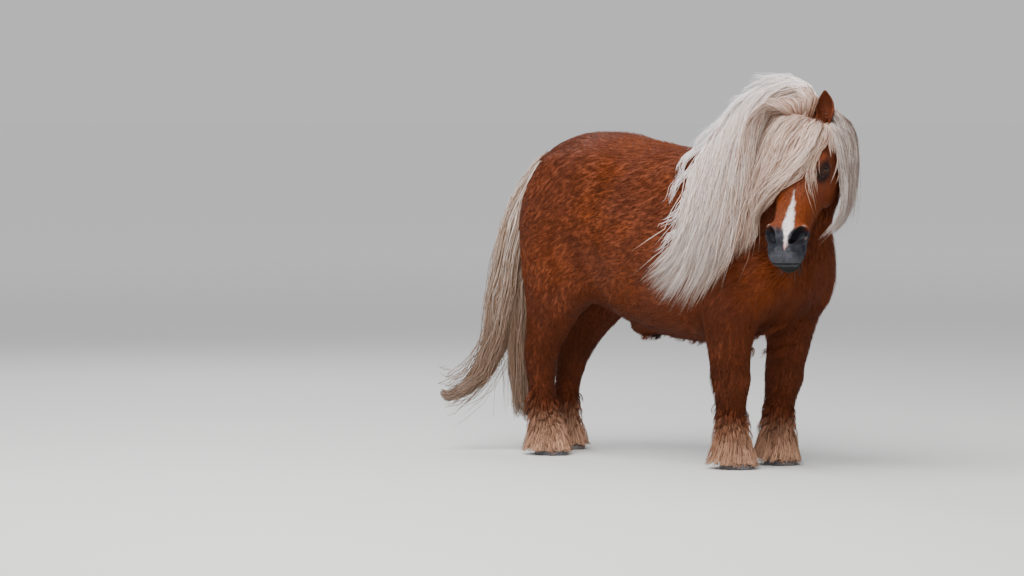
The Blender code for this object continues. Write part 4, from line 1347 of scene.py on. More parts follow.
def combed(lines, across, high, reach=1.0, root=None):
    """A path between given lines of hair, and the ways that face off the flesh.

    It lies this far across the lines and this high off the flesh, and runs this much of their length. With
    a root of its own, it leaves that and joins the lines soon after.
    """
    step = min(max(across, 0.0), 0.999) * (len(lines) - 1)
    span = int(step)
    line = smooth_rows([at(*place) for place in mixed(lines[span], lines[span + 1], step - span)], COMB_STEPS)
    share = np.linspace(0, 1, COMB_STEPS)
    if root is not None:
        line = line + (root - line[0]) * ((1 - share / COMB_ROOT_SHARE).clip(0) ** 2)[:, None]
    path, lie = [], []
    for place, along in zip(line[share <= reach][::2], share[::2]):
        spot, normal, _, _ = outside.find_nearest(Vector(place))
        spot, normal = np.array(spot), np.array(normal)
        gap = (place - spot) @ normal
        sunk = 0 if path else COMB_SUNK
        path.append(place + normal * (max(COMB_CLEAR - gap, 0) + high * min(1, along * 6) - sunk))
        lie.append(normal if not lie else unit(0.6 * lie[-1] + 0.4 * normal))
    path = np.array(path)
    path[1:-1] = (path[:-2] + 2 * path[1:-1] + path[2:]) / 4
    path[:, 2] = path[:, 2].clip(LOWEST_PATH)
    return path, np.array(lie)


print("a fall of 0.2 m from the withers ends at",
      drape(on_surface(at(0.03, 0.24, 0.96)), at(1, 0, 0), DOWN, 0.2, 6, 0.004)[0][-1].round(3))

# %% [markdown]
# Each lock is filled with strands that follow it, spread across it, and draw together towards its tip, with
# a wave that the lock shares. A few strands stray. A class keeps the strands of many locks, because one
# mesh of them all is far quicker to make and to draw than many small ones. No strand rises above a set
# height, since the dressed pony may not stand far out of the box of its solids.

# %% A lock filled with strands
HIGHEST_HAIR = 1.154
LOWEST_HAIR = 0.004
STRAY_SHARE = 0.06
TONE_SPREAD = 0.21


class Growth:
    """Strands gathered lock by lock, to be made into one mesh."""

    def __init__(self, stations, seed):
        self.stations = stations
        self.draw = np.random.default_rng(seed)
        self.kept = []

    def lock(self, path, lie, width, thick, strands,
             tone=0.5, wave=0.004, shortest=0.72, hair=0.0013, spread=1.0):
        """Adds one lock's strands. Spread above 1 opens the tip, below 1 draws it together."""
        draw, stations = self.draw, self.stations
        fine = 4 * stations
        track = smooth_rows(path, fine)
        facing = unit(smooth_rows(lie, fine))
        run = unit(np.gradient(track, axis=0))
        across = unit(np.cross(run, facing))
        out = np.cross(across, run)
        ends = draw.uniform(shortest, 1.0, strands) ** 0.7
        steps = np.linspace(0, 1, stations)[None, :] * ends[:, None] * (fine - 1)
        low = np.minimum(steps.astype(int), fine - 2)
        part = (steps - low)[..., None]

        def followed(values):
            return values[low] * (1 - part) + values[low + 1] * part

        centre, side, away = followed(track), unit(followed(across)), unit(followed(out))
        share = steps / (fine - 1)
        fullness = 0.55 + 0.45 * np.sin(np.minimum(1.0, share * 2.2) * math.pi / 2)
        draws_in = 1 - (1 - 0.45 * spread) * share ** 2
        u = draw.uniform(-1, 1, strands)[:, None]
        v = draw.uniform(0, 1, strands)[:, None] * np.sqrt(1 - 0.8 * u * u)
        own = draw.uniform(0, 2 * math.pi, strands)[:, None]
        shared = draw.uniform(0, 2 * math.pi)
        length = np.linalg.norm(np.diff(track, axis=0), axis=1).sum()
        turns = length / draw.uniform(0.10, 0.17) * 2 * math.pi
        sway = np.sin(turns * share + shared) + 0.7 * np.sin(1.7 * turns * share + own)
        lift = np.cos(0.9 * turns * share + shared) + 0.7 * np.sin(1.5 * turns * share + own * 1.3)
        ease = np.minimum(1, share * 3)
        u_now = u * width / 2 * fullness * draws_in + sway * wave * ease
        v_now = v * thick * (0.5 + 0.5 * (1 - share)) * fullness + lift * wave * 0.5 * ease
        strays = (draw.uniform(0, 1, strands) < STRAY_SHARE)[:, None] * share ** 2 * length
        u_now = u_now + strays * draw.normal(size=(strands, 1)) * 0.07
        v_now = v_now + strays * np.abs(draw.normal(size=(strands, 1))) * 0.05
        paths = centre + side * u_now[..., None] + away * v_now[..., None]
        paths[..., 2] = paths[..., 2].clip(LOWEST_HAIR, HIGHEST_HAIR)
        thin = hair * draw.uniform(0.7, 1.35, strands)[:, None] * (1 - 0.55 * share[:, :-1]) + 0.0002
        # Strands nearer the flesh within a lock are a little darker: a painted shade.
        tones = (tone + TONE_SPREAD * draw.normal(size=strands) + 0.10 * (v[:, 0] - 0.5)).clip(0, 1)
        self.kept.append((paths, side[:, :-1], away[:, :-1], thin, tones))

    def mesh(self, name):
        """All the strands as one mesh, each with its patch spread over the map in the order they grew."""
        paths, side, away, thin, tones = (np.concatenate([kept[k] for kept in self.kept]) for k in range(5))
        count = len(paths)
        columns = int(math.ceil(math.sqrt(count)))
        order = np.arange(count)
        chart = np.stack([(order % columns + 0.5) / columns, (order // columns + 0.5) / columns], axis=1)
        return strand_mesh(name, paths, side, away, thin, thin * 0.6, tones, chart)


print("strays:", STRAY_SHARE, "of the strands; none rises above", HIGHEST_HAIR)

# %% [markdown]
# The mane grows along the crest and is as long as the neck is deep. Most of it lies on the pony's right
# side, where the wind lifts it and carries it back over the shoulder in one great sweep. What falls to the
# left hangs behind the cheek. A few long wisps fly off the top. Its lines are drawn one by one, each from its
# root to its tip: to the pony's left, forward and up. Those of the mane run from the withers to the poll.

# %% Lines of the mane
CREST = [(0, 0.235, 0.955), (0.000, 0.33, 0.992), (0.000, 0.42, 1.028), (-0.030, 0.51, 1.052),
         (-0.095, 0.582, 1.052), (-0.160, 0.612, 1.030)]


def crest(share):
    """A place on the top of the neck, from the withers at 0 to the poll at 1."""
    step = share * (len(CREST) - 1)
    span = min(int(step), len(CREST) - 2)
    return at(*mixed(CREST[span], CREST[span + 1], step - span))


MANE_LINES = [
    [(0.000, 0.235, 0.960), (-0.047, 0.223, 0.969), (-0.108, 0.217, 0.929), (-0.161, 0.222, 0.862),
     (-0.195, 0.224, 0.790), (-0.212, 0.216, 0.721), (-0.223, 0.187, 0.645), (-0.249, 0.118, 0.580),
     (-0.290, 0.022, 0.517)],
    [(-0.026, 0.312, 0.981), (-0.031, 0.278, 1.028), (-0.074, 0.249, 0.990), (-0.131, 0.247, 0.906),
     (-0.178, 0.255, 0.814), (-0.202, 0.253, 0.721), (-0.213, 0.224, 0.628), (-0.239, 0.155, 0.545),
     (-0.276, 0.064, 0.474)],
    [(-0.066, 0.419, 1.009), (-0.050, 0.392, 1.073), (-0.064, 0.339, 1.075), (-0.102, 0.299, 0.994),
     (-0.153, 0.291, 0.866), (-0.191, 0.293, 0.757), (-0.207, 0.276, 0.646), (-0.229, 0.215, 0.529),
     (-0.270, 0.120, 0.417)],
    [(-0.130, 0.545, 1.028), (-0.094, 0.542, 1.085), (-0.111, 0.474, 1.102), (-0.132, 0.402, 1.047),
     (-0.156, 0.358, 0.931), (-0.187, 0.350, 0.787), (-0.211, 0.336, 0.657), (-0.229, 0.283, 0.520),
     (-0.258, 0.201, 0.379)],
    [(-0.159, 0.619, 1.031), (-0.125, 0.614, 1.082), (-0.136, 0.553, 1.099), (-0.157, 0.482, 1.053),
     (-0.172, 0.430, 0.932), (-0.185, 0.408, 0.793), (-0.201, 0.394, 0.678), (-0.218, 0.357, 0.579),
     (-0.239, 0.292, 0.480)],
]
FAR_LINES = [
    [(-0.116, 0.657, 1.005), (-0.108, 0.666, 0.962), (-0.091, 0.667, 0.911), (-0.080, 0.670, 0.853),
     (-0.100, 0.689, 0.797), (-0.143, 0.714, 0.747), (-0.204, 0.719, 0.703), (-0.283, 0.702, 0.665)],
    [(-0.106, 0.661, 1.014), (-0.073, 0.660, 0.973), (-0.043, 0.655, 0.921), (-0.017, 0.642, 0.860),
     (0.007, 0.624, 0.802), (0.025, 0.599, 0.746), (0.022, 0.564, 0.699), (-0.011, 0.524, 0.655)],
    [(-0.042, 0.622, 1.022), (-0.018, 0.632, 0.993), (-0.002, 0.638, 0.941), (0.017, 0.630, 0.877),
     (0.039, 0.610, 0.818), (0.056, 0.582, 0.765), (0.058, 0.555, 0.715), (0.028, 0.523, 0.666)],
    [(-0.045, 0.631, 1.030), (-0.006, 0.630, 1.024), (0.030, 0.627, 0.975), (0.060, 0.616, 0.911),
     (0.083, 0.597, 0.849), (0.098, 0.568, 0.787), (0.110, 0.536, 0.734), (0.113, 0.493, 0.683)],
]
WISP_LINES = [
    [(-0.133, 0.620, 1.082), (-0.126, 0.581, 1.111), (-0.123, 0.539, 1.128), (-0.129, 0.484, 1.140),
     (-0.139, 0.426, 1.142), (-0.153, 0.363, 1.137)],
    [(-0.131, 0.575, 1.085), (-0.126, 0.534, 1.114), (-0.132, 0.480, 1.125), (-0.142, 0.421, 1.119),
     (-0.156, 0.358, 1.093), (-0.170, 0.295, 1.052)],
    [(-0.109, 0.446, 1.076), (-0.119, 0.387, 1.093), (-0.133, 0.324, 1.058), (-0.143, 0.265, 1.005),
     (-0.150, 0.210, 0.958), (-0.161, 0.150, 0.905)],
    [(-0.019, 0.242, 0.969), (-0.042, 0.189, 0.960), (-0.089, 0.159, 0.928), (-0.145, 0.145, 0.887),
     (-0.188, 0.142, 0.847), (-0.206, 0.173, 0.807)],
    [(-0.179, 0.256, 0.814), (-0.208, 0.235, 0.750), (-0.228, 0.199, 0.697), (-0.240, 0.156, 0.656),
     (-0.247, 0.109, 0.626), (-0.256, 0.054, 0.601)],
]
print("mane lines:", len(MANE_LINES), "near,", len(FAR_LINES), "far,", len(WISP_LINES), "wisps")

# %% [markdown]
# The locks of the near side are spread along the crest, some low and some high, so that the high ones cast
# shade on the others. Their heights step by the golden share, so that neighbours never line up, and they go
# into three pieces, so that none is too heavy. The far side has a short fall along the crest, which hides
# the neck, and longer locks behind the cheek.

# %% The mane
MANE_LOCKS = 104
FAR_LOCKS = 22
CHEEK_LOCKS = 20
WISPS = 14
LOCK_STRANDS = 66
GOLDEN = 0.618
manes = Growth(10, 31), Growth(10, 32), Growth(10, 37)
for k in range(MANE_LOCKS):
    share = (k + 0.5) / MANE_LOCKS
    high = (k * GOLDEN) % 1.0
    root = on_surface(crest(0.02 + 0.96 * share) + at(-0.024 + 0.024 * high, 0, 0))
    where = 0.03 + 0.94 * share + rng.uniform(-0.05, 0.05)
    path, lie = combed(MANE_LINES, where, high * (0.020 + 0.018 * share), rng.uniform(0.82, 1.0), root)
    # A lock's tone falls towards the poll, and low locks are darker than high ones: a painted shade under the
    # top hair.
    manes[k % 3].lock(path, lie, rng.uniform(0.036, 0.060), 0.016, LOCK_STRANDS,
                      tone=0.60 - 0.22 * share + 0.26 * high + 0.2 * (rng.random() - 0.5),
                      hair=0.0011, wave=0.006, shortest=0.60, spread=0.7)
far_mane = Growth(9, 33)
for k in range(FAR_LOCKS):
    share = 0.10 + 0.80 * (k + 0.5) / FAR_LOCKS
    root = on_surface(crest(share) + at(0.024, 0, 0))
    length = 0.27 * rng.uniform(0.85, 1.05)
    path, lie = drape(root, at(0.30, 0.05, 0.05), DOWN - at(0.20, 0, 0), length, 7,
                      0.004 + 0.010 * rng.random(), bend=0.55)
    far_mane.lock(path, lie, rng.uniform(0.050, 0.070), 0.014, 56, tone=0.6, hair=0.0012)
for k in range(CHEEK_LOCKS):
    share = (k + 0.5) / CHEEK_LOCKS
    high = (k * GOLDEN) % 1.0
    path, lie = combed(FAR_LINES, 0.02 + 0.92 * share, 0.014 * high, rng.uniform(0.85, 1.0))
    far_mane.lock(path, lie, rng.uniform(0.026, 0.040), 0.012, 56,
                  tone=0.34 + 0.25 * rng.random(), hair=0.0010)
wisps = Growth(12, 34)
for k in range(WISPS):
    path, lie = combed(WISP_LINES, k / (WISPS - 1), 0.004, rng.uniform(0.80, 1.0))
    wisps.lock(path, lie, 0.022, 0.010, 26,
               tone=0.75, shortest=0.40, hair=0.0006, spread=2.0, wave=0.006)
hair = [grown.mesh(name) for grown, name in zip(manes, ("mane_under", "mane_over", "mane_top"))]
hair += [far_mane.mesh("mane_far"), wisps.mesh("mane_wisps")]
print("mane strands", sum(len(kept[0]) for grown in manes for kept in grown.kept))

# %% [markdown]
# The forelock grows between the ears and falls down the face. Here the wind blows it to the pony's right,
# so that it covers that eye and leaves the left one clear, with a few thin strands over the brow and down
# beside the nose. Its lines are listed too, and so are those of the thin strands.

# %% Lines of the forelock
FORELOCK_LINES = [
    [(-0.123, 0.641, 1.019), (-0.159, 0.659, 0.986), (-0.190, 0.665, 0.946), (-0.214, 0.662, 0.907),
     (-0.238, 0.648, 0.870), (-0.256, 0.623, 0.839), (-0.260, 0.590, 0.812), (-0.253, 0.555, 0.783),
     (-0.250, 0.512, 0.739)],
    [(-0.139, 0.632, 1.025), (-0.178, 0.633, 1.003), (-0.209, 0.629, 0.963), (-0.232, 0.618, 0.918),
     (-0.243, 0.598, 0.872), (-0.241, 0.567, 0.826), (-0.234, 0.529, 0.779), (-0.227, 0.490, 0.727),
     (-0.215, 0.458, 0.663)],
    [(-0.150, 0.611, 1.031), (-0.183, 0.594, 1.017), (-0.212, 0.581, 0.968), (-0.229, 0.561, 0.917),
     (-0.228, 0.528, 0.859), (-0.218, 0.494, 0.796), (-0.204, 0.464, 0.732), (-0.194, 0.441, 0.667),
     (-0.201, 0.421, 0.598)],
    [(-0.123, 0.553, 1.033), (-0.125, 0.504, 1.039), (-0.124, 0.458, 1.001), (-0.126, 0.423, 0.937),
     (-0.144, 0.408, 0.868), (-0.172, 0.408, 0.787), (-0.190, 0.408, 0.707), (-0.202, 0.396, 0.638),
     (-0.217, 0.363, 0.557)],
    [(-0.173, 0.571, 1.037), (-0.172, 0.526, 1.059), (-0.178, 0.472, 1.036), (-0.181, 0.423, 0.961),
     (-0.183, 0.387, 0.874), (-0.193, 0.373, 0.773), (-0.205, 0.361, 0.683), (-0.217, 0.325, 0.602),
     (-0.226, 0.273, 0.525)],
]
FACE_LINES = [
    [(-0.133, 0.642, 1.017), (-0.166, 0.657, 0.980), (-0.195, 0.662, 0.938), (-0.217, 0.661, 0.895),
     (-0.230, 0.664, 0.850), (-0.223, 0.673, 0.788), (-0.195, 0.676, 0.724)],
    [(-0.126, 0.643, 1.017), (-0.154, 0.662, 0.980), (-0.181, 0.673, 0.938), (-0.203, 0.675, 0.895),
     (-0.211, 0.674, 0.844), (-0.198, 0.675, 0.781), (-0.169, 0.673, 0.715)],
    [(-0.117, 0.644, 1.017), (-0.137, 0.663, 0.983), (-0.160, 0.678, 0.949), (-0.187, 0.681, 0.918),
     (-0.206, 0.677, 0.890), (-0.220, 0.670, 0.864), (-0.235, 0.664, 0.842)],
    [(-0.108, 0.644, 1.017), (-0.106, 0.660, 0.979), (-0.094, 0.666, 0.942), (-0.081, 0.667, 0.905),
     (-0.094, 0.669, 0.868), (-0.119, 0.675, 0.837), (-0.143, 0.675, 0.812)],
    [(-0.115, 0.660, 1.017), (-0.084, 0.661, 0.979), (-0.057, 0.658, 0.933), (-0.030, 0.648, 0.881),
     (-0.006, 0.630, 0.828), (0.016, 0.609, 0.775), (0.034, 0.584, 0.734)],
]
print("forelock lines:", len(FORELOCK_LINES), "and", len(FACE_LINES), "of thin strands")

# %% [markdown]
# The broad locks come first. Some more bridge the forelock and the mane, which the wind blows together, so
# that no bare skin shows between. The thin strands are shorter near the eye, which they leave clear.

# %% The forelock
FORELOCK_LOCKS = 50
BRIDGE_LOCKS = 12
BROW_LOCKS = 22
forelock = Growth(10, 35)
for k in range(FORELOCK_LOCKS):
    share = (k + 0.5) / FORELOCK_LOCKS
    high = (k * GOLDEN) % 1.0
    where = 0.02 + 0.94 * share + rng.uniform(-0.03, 0.03)
    path, lie = combed(FORELOCK_LINES, where, 0.004 + 0.020 * high, rng.uniform(0.82, 1.0))
    # Low locks are darker than high ones: a painted shade under the top hair.
    forelock.lock(path, lie, rng.uniform(0.030, 0.048), 0.012, 54,
                  tone=0.34 + 0.26 * high, hair=0.0010, wave=0.004)
bridge = [MANE_LINES[4], FORELOCK_LINES[4], FORELOCK_LINES[3]]
for k in range(BRIDGE_LOCKS):
    path, lie = combed(bridge, k / BRIDGE_LOCKS, 0.006 + 0.024 * rng.random(), rng.uniform(0.7, 1.0))
    forelock.lock(path, lie, rng.uniform(0.036, 0.050), 0.014, 50,
                  tone=0.40 + 0.2 * rng.random(), hair=0.0010, wave=0.004)
for k in range(BROW_LOCKS):
    share = (k + 0.5) / BROW_LOCKS
    by_eye = 0.30 < share < 0.68
    reach = rng.uniform(0.42, 0.58) if by_eye else rng.uniform(0.75, 1.0)
    path, lie = combed(FACE_LINES, share, 0.002 + 0.005 * rng.random(), reach)
    forelock.lock(path, lie, 0.015, 0.004, 18,
                  tone=0.35 + 0.25 * rng.random(), hair=0.0007, wave=0.003, shortest=0.5)
hair.append(forelock.mesh("forelock"))

# %% [markdown]
# Tail hair grows all round the dock, which is skin and bone, and reaches nearly to the ground. One mass is
# blown back and aside and ends in a curl, and another hangs straight behind the hocks. Each has a middle
# line, whose rows say how far downwind of the dock it is, how high, and how thick.

# %% The tail
BLOWN_TAIL = [(0.020, 0.900, 0.022), (0.048, 0.840, 0.032), (0.088, 0.740, 0.042), (0.122, 0.610, 0.048),
              (0.146, 0.480, 0.046), (0.160, 0.375, 0.038), (0.186, 0.285, 0.030), (0.232, 0.215, 0.024),
              (0.290, 0.172, 0.014), (0.330, 0.168, 0.008)]
HANGING_TAIL = [(0.020, 0.890, 0.022), (0.040, 0.790, 0.034), (0.066, 0.660, 0.040), (0.084, 0.500, 0.040),
                (0.090, 0.350, 0.038), (0.090, 0.210, 0.032), (0.088, 0.095, 0.018)]
TAIL_TOP = at(0.0, -0.505, 0.0)
TAIL_LOCKS = 36
GOLDEN_TURN = 2.4


def tail_path(mass, root, turn, reach):
    """A path from a root on the dock down a mass of the tail, off its middle by a part of its thickness."""
    rows = smooth_rows(mass, 24)
    radial = at(math.sin(turn), -math.cos(turn), 0)
    middle = TAIL_TOP + np.outer(rows[:, 0], WIND) + np.outer(rows[:, 1], -DOWN)
    line = middle + np.outer(rows[:, 2] * reach, radial)
    line = line[line[:, 2] < max(root[2] - 0.035, line[4, 2])]
    return np.concatenate([[root - radial * 0.008], [root], line[1::3], line[-1:]]), radial


tails = Growth(13, 36), Growth(13, 38)
for k in range(TAIL_LOCKS):
    share = (k + 0.5) / TAIL_LOCKS
    step = 0.9 + 2.5 * (1 - share)
    span = min(int(step), len(DOCK) - 2)
    turn = k * GOLDEN_TURN
    on_dock = at(*mixed(DOCK[span], DOCK[span + 1], step - span))
    root = on_dock + at(math.sin(turn), -math.cos(turn), 0) * 0.014
    mass = HANGING_TAIL if k % 3 == 2 else BLOWN_TAIL
    path, radial = tail_path(mass, root, turn, math.sqrt(share) * rng.uniform(0.85, 1.1))
    tails[k % 2].lock(path, np.array([radial] * len(path)), rng.uniform(0.034, 0.050), 0.018, 54,
                      tone=0.45 + 0.3 * (rng.random() - 0.5), hair=0.0012, wave=0.006, spread=0.8)
hair += [tails[0].mesh("tail_hair"), tails[1].mesh("tail_fill")]

# %% [markdown]
# Feather is the long hair of the fetlocks. It falls from the back of the joint and from the coronet over
# the hoof, and is longest at the heel. It is grown in thin locks that go round each leg by the golden angle.

# %% Feather
FEATHER_LOCKS = 110
FEATHER_LOW, FEATHER_HIGH = 0.046, 0.175
feathers = []
for number, (name, (left, forward)) in enumerate(HOOF_PLACES.items()):
    feather = Growth(5, 40 + number)
    for k in range(FEATHER_LOCKS):
        angle = k * GOLDEN_TURN
        ahead, across = math.cos(angle), math.sin(angle)
        heel = 0.5 - 0.5 * ahead
        height = FEATHER_LOW + (FEATHER_HIGH - FEATHER_LOW) * ((k + 0.5) / FEATHER_LOCKS) ** 1.5
        low_down = float(rising(0.125 - height, 0, 0.06))
        root = on_surface(at(left + across * 0.05, forward - 0.004 + ahead * 0.05, height + 0.020 * heel))
        outward = at(across, ahead, 0)
        flare = 0.02 + low_down * (0.16 + 0.16 * heel) + rng.uniform(-0.03, 0.08)
        length = (0.032 + 0.012 * heel) * (1 - low_down) + low_down * (height + 0.026 + 0.014 * heel)
        rise = outward * (0.05 + 0.45 * low_down) + DOWN
        fall = DOWN + outward * flare + WIND * 0.06
        path, lie = drape(root, rise, fall, length * rng.uniform(0.85, 1.12), 4,
                          0.001 + 0.005 * rng.random(), bend=0.5, sunk=0.003)
        feather.lock(path, lie, 0.022, 0.007, 13, tone=0.35 + 0.35 * rng.random(), hair=0.00075, wave=0.003,
                     shortest=0.55 + 0.2 * low_down)
    feathers.append(feather.mesh("feather_" + name))

# %% [markdown]
# A thin fringe hangs along the middle of the belly and the breastbone, longer to the front. It is swept
# back, and it breaks the smooth line that the belly would have in profile. Roots that would land on the
# inside of a leg are left out.

# %% The belly's fringe
FRINGE_LOCKS = 150
FRINGE_LOW = 0.33
fringe = Growth(5, 48)
for k in range(FRINGE_LOCKS):
    share = (k + 0.5) / FRINGE_LOCKS
    root = on_surface(at(rng.uniform(-0.05, 0.05), -0.12 + 0.58 * share, 0.34))
    length = (0.018 + 0.022 * float(rising(share, 0.45, 0.75))) * rng.uniform(0.6, 1.3)
    swept = DOWN + at(0, -1.0, 0)
    path, lie = drape(root, swept, swept + WIND * 0.3, length, 4, 0.002, bend=0.4, sunk=0.003)
    if root[2] > FRINGE_LOW:
        fringe.lock(path, lie, 0.022, 0.010, 7, tone=0.5, hair=0.0006, wave=0.002, shortest=0.3, spread=1.8)
feathers.append(fringe.mesh("belly_fringe"))

# %% [markdown]
# Whiskers are stiff single hairs on the lips and the chin. Lashes are dark and stand out from the upper
# lid. Both are few, and their places are said in the head's own parts.

# %% Whiskers and lashes
WHISKERS = 70
LASHES = 26
whiskers = Growth(5, 50)
for _ in range(WHISKERS):
    side = rng.uniform(-0.10, 0.10)
    along = rng.uniform(0.90, 0.985)
    depth = rng.choice((0.235, 0.255, 0.265))
    root = on_surface(on_head(along, depth, side))
    way = unit(NOSEWARD * 0.9 - BROWWARD * rng.uniform(-0.1, 0.6) + EARWARD * side * 3)
    length = rng.uniform(0.012, 0.030)
    tip = root + way * length + DOWN * length * 0.15
    path = np.array([root - way * 0.002, root + way * length * 0.5, tip])
    whiskers.lock(path, np.tile(EARWARD, (3, 1)), 0.001, 0.001, 1,
                  tone=0.4, hair=0.0003, wave=0.0, shortest=0.99)
lashes = Growth(5, 51)
for name, side in EYE_SIDES.items():
    outward, up, fore = eye_directions(side)
    for a in np.linspace(-0.85, 0.85, LASHES):
        lift = 0.70 * math.cos(a * 1.25)
        way = unit(outward * math.cos(a) * math.cos(lift) + fore * math.sin(a) + up * math.sin(lift))
        root = eye_centres[name] + way * (EYE_RADIUS + 0.003)
        sweep = unit(way + outward * 0.8 - up * 0.25 + fore * a * 0.3)
        path = np.array([root, root + sweep * 0.006, root + sweep * 0.011 - up * 0.001])
        lashes.lock(path, np.tile(up, (3, 1)), 0.0004, 0.0004, 2,
                    tone=0.2, hair=0.0003, wave=0.0, shortest=0.9)
fine_hair = [whiskers.mesh("whiskers"), lashes.mesh("lashes")]

# %% [markdown]
# Skin and coat carry the same markings, so one set of sums works out the colour of any place on the pony:
# rich chestnut that changes a little from patch to patch, darker on the lower legs, pale at the feet,
# a grey muzzle and a white stripe. The same sums also paint shade: a dark ring round each eye, partly dark
# skin and partly painted shade of the socket, and painted shade in the nostrils, along the mouth, under the
# lower lip and in the cups of the ears. Tufts read it at their root.

# %% Markings and painted shade
CHESTNUT = (0.172, 0.036, 0.007)
DARK_CHESTNUT = (0.085, 0.020, 0.007)
DUSTY_CHESTNUT = (0.155, 0.038, 0.015)
LEG_RED = (0.125, 0.029, 0.009)
PALE_FEATHER = (0.500, 0.285, 0.180)
MUZZLE_GREY = (0.013, 0.014, 0.020)
MUZZLE_PALE = (0.070, 0.072, 0.084)
NOSTRIL_RIM = (0.420, 0.290, 0.235)
# Painted shade for the mouth line and under the lower lip.
MOUTH_PAINTED_SHADE = (0.008, 0.009, 0.007)
MOUTH_HEIGHT = 0.615
STRIPE_WHITE = (0.800, 0.740, 0.720)
# Near black: the dark skin of the eye rims and the sheath, and painted shade round the eyes and in the ear
# cups.
DARK_RIM_AND_SHADE = (0.017, 0.011, 0.010)


def head_wires(place):
    """Along, behind and aside on the head, for a place."""
    found = []
    for way, sign in ((NOSEWARD, 1), (BROWWARD, -1), (EARWARD, 1)):
        start_at = float(at(*POLL) @ way)
        found.append((place.along_way(way) - start_at) * (sign / HEAD_LENGTH))
    return found


def near_place(place, spot, inner, outer):
    """1 within an inner distance of a spot, 0 beyond an outer one."""
    away = place.node("VectorMath", {"operation": "DISTANCE"}, {0: place, 1: tuple(spot)}, "Value")
    return 1 - away.rise(inner, outer)


def markings_and_painted_shade(place):
    """The coat's colour at a place, with the shade that is painted into the face and ears."""
    forward = place.along_way(at(0, 1, 0))
    up = place.along_way(at(0, 0, 1))
    patch = place.noise(5.5, 3, 0.6)
    streak = place.stretched(1.0, 0.45, 0.6).noise(38, 2, 0.6)
    colour = patch.rise(0.35, 0.62).between(CHESTNUT, DUSTY_CHESTNUT)
    rump = (0 - forward).rise(0.18, 0.36) * up.rise(0.5, 0.7)
    colour = (rump * 0.6).between(colour, DUSTY_CHESTNUT)
    colour = (streak.rise(0.40, 0.80) * 0.35).between(colour, DARK_CHESTNUT)
    legs = 1 - up.rise(0.30, 0.50)
    colour = legs.between(colour, (patch.rise(0.45, 0.60) * 0.7).between(LEG_RED, DARK_CHESTNUT))
    feet = 1 - (up + (place.noise(30, 2) - 0.5) * 0.06).rise(0.045, 0.175)
    colour = feet.between(colour, PALE_FEATHER)
    along, depth, side = head_wires(place)
    ragged = (place.noise(55, 3, 0.6) - 0.5) * 0.10
    on_face = 1 - depth.rise(0.30, 0.36)
    on_face = on_face * (1 - side.distance_to(0.0).rise(0.28, 0.34)) * along.rise(0.1, 0.2)
    muzzle = (along + ragged * 0.5 + (depth - 0.05) * 0.30).rise(0.755, 0.800) * on_face
    mottle = place.noise(42, 3, 0.6).rise(0.40, 0.66)
    grey = (mottle * 0.55).between(MUZZLE_GREY, MUZZLE_PALE)
    lip = along.rise(0.92, 0.97) * (1 - depth.rise(0.15, 0.18)) * 0.6
    grey = lip.between(grey, MUZZLE_PALE)
    # The mouth line and the lower lip and chin below it are darkened: a painted shade under the upper lip.
    mouth = 1 - (up + ragged * 0.02).distance_to(MOUTH_HEIGHT).rise(0.0015, 0.0040)
    chin = 1 - up.rise(MOUTH_HEIGHT - 0.012, MOUTH_HEIGHT - 0.004)
    grey = (mouth + chin * 0.8).rise(0.0, 1.0).between(grey, MOUTH_PAINTED_SHADE)
    colour = muzzle.between(colour, grey)
    for nose_side in (-1, 1):
        for spot in ((0.765, 0.045, 0.128), (0.795, 0.060, 0.150), (0.830, 0.080, 0.148)):
            rim = near_place(place, on_head(spot[0], spot[1], spot[2] * nose_side), 0.004, 0.013)
            colour = (rim * 0.75).between(colour, NOSTRIL_RIM)
        # The nostril hollows are painted near black: a painted shade in their depth.
        for spot in ((0.800, 0.062, 0.108), (0.822, 0.062, 0.092), (0.855, 0.066, 0.068)):
            hollow = near_place(place, on_head(spot[0], spot[1], spot[2] * nose_side), 0.014, 0.023)
            colour = hollow.between(colour, (0.010, 0.009, 0.012))
    half = along.rise(0.54, 0.78) * 0.031 - along.rise(0.77, 0.85) * 0.024 - along.rise(0.90, 0.955) * 0.022
    stripe = 1 - (side.distance_to(0.022) + ragged * 0.40 - half).rise(-0.010, 0.014)
    stripe = stripe * along.rise(0.50, 0.56) * (1 - along.rise(0.94, 0.97))
    stripe = stripe * (1 - depth.rise(0.14, 0.18)) * on_face
    white = along.rise(0.86, 0.92).between(STRIPE_WHITE, (0.62, 0.36, 0.32))
    colour = stripe.between(colour, white)
    # A dark ring round each eye: partly its dark skin, partly a painted shade of the socket and brow.
    for centre in eye_centres.values():
        colour = (near_place(place, centre, 0.024, 0.044) * 0.92).between(colour, DARK_RIM_AND_SHADE)
    for base, rise, face, _ in EARS.values():
        # The cup of each ear is painted dark, a painted shade in its hollow; the whole ear is also a little
        # darker.
        ear_cup_shade = near_place(place, base + rise * 0.055 + face * 0.004, 0.012, 0.026)
        whole = near_place(place, base + rise * 0.060, 0.050, 0.060)
        colour = (whole * 0.30).between(colour, DARK_CHESTNUT)
        colour = (ear_cup_shade * 0.70).between(colour, DARK_RIM_AND_SHADE)
    sheath = near_place(place, at(0, -0.06, 0.365), 0.020, 0.035)
    return (sheath * 0.9).between(colour, DARK_RIM_AND_SHADE)


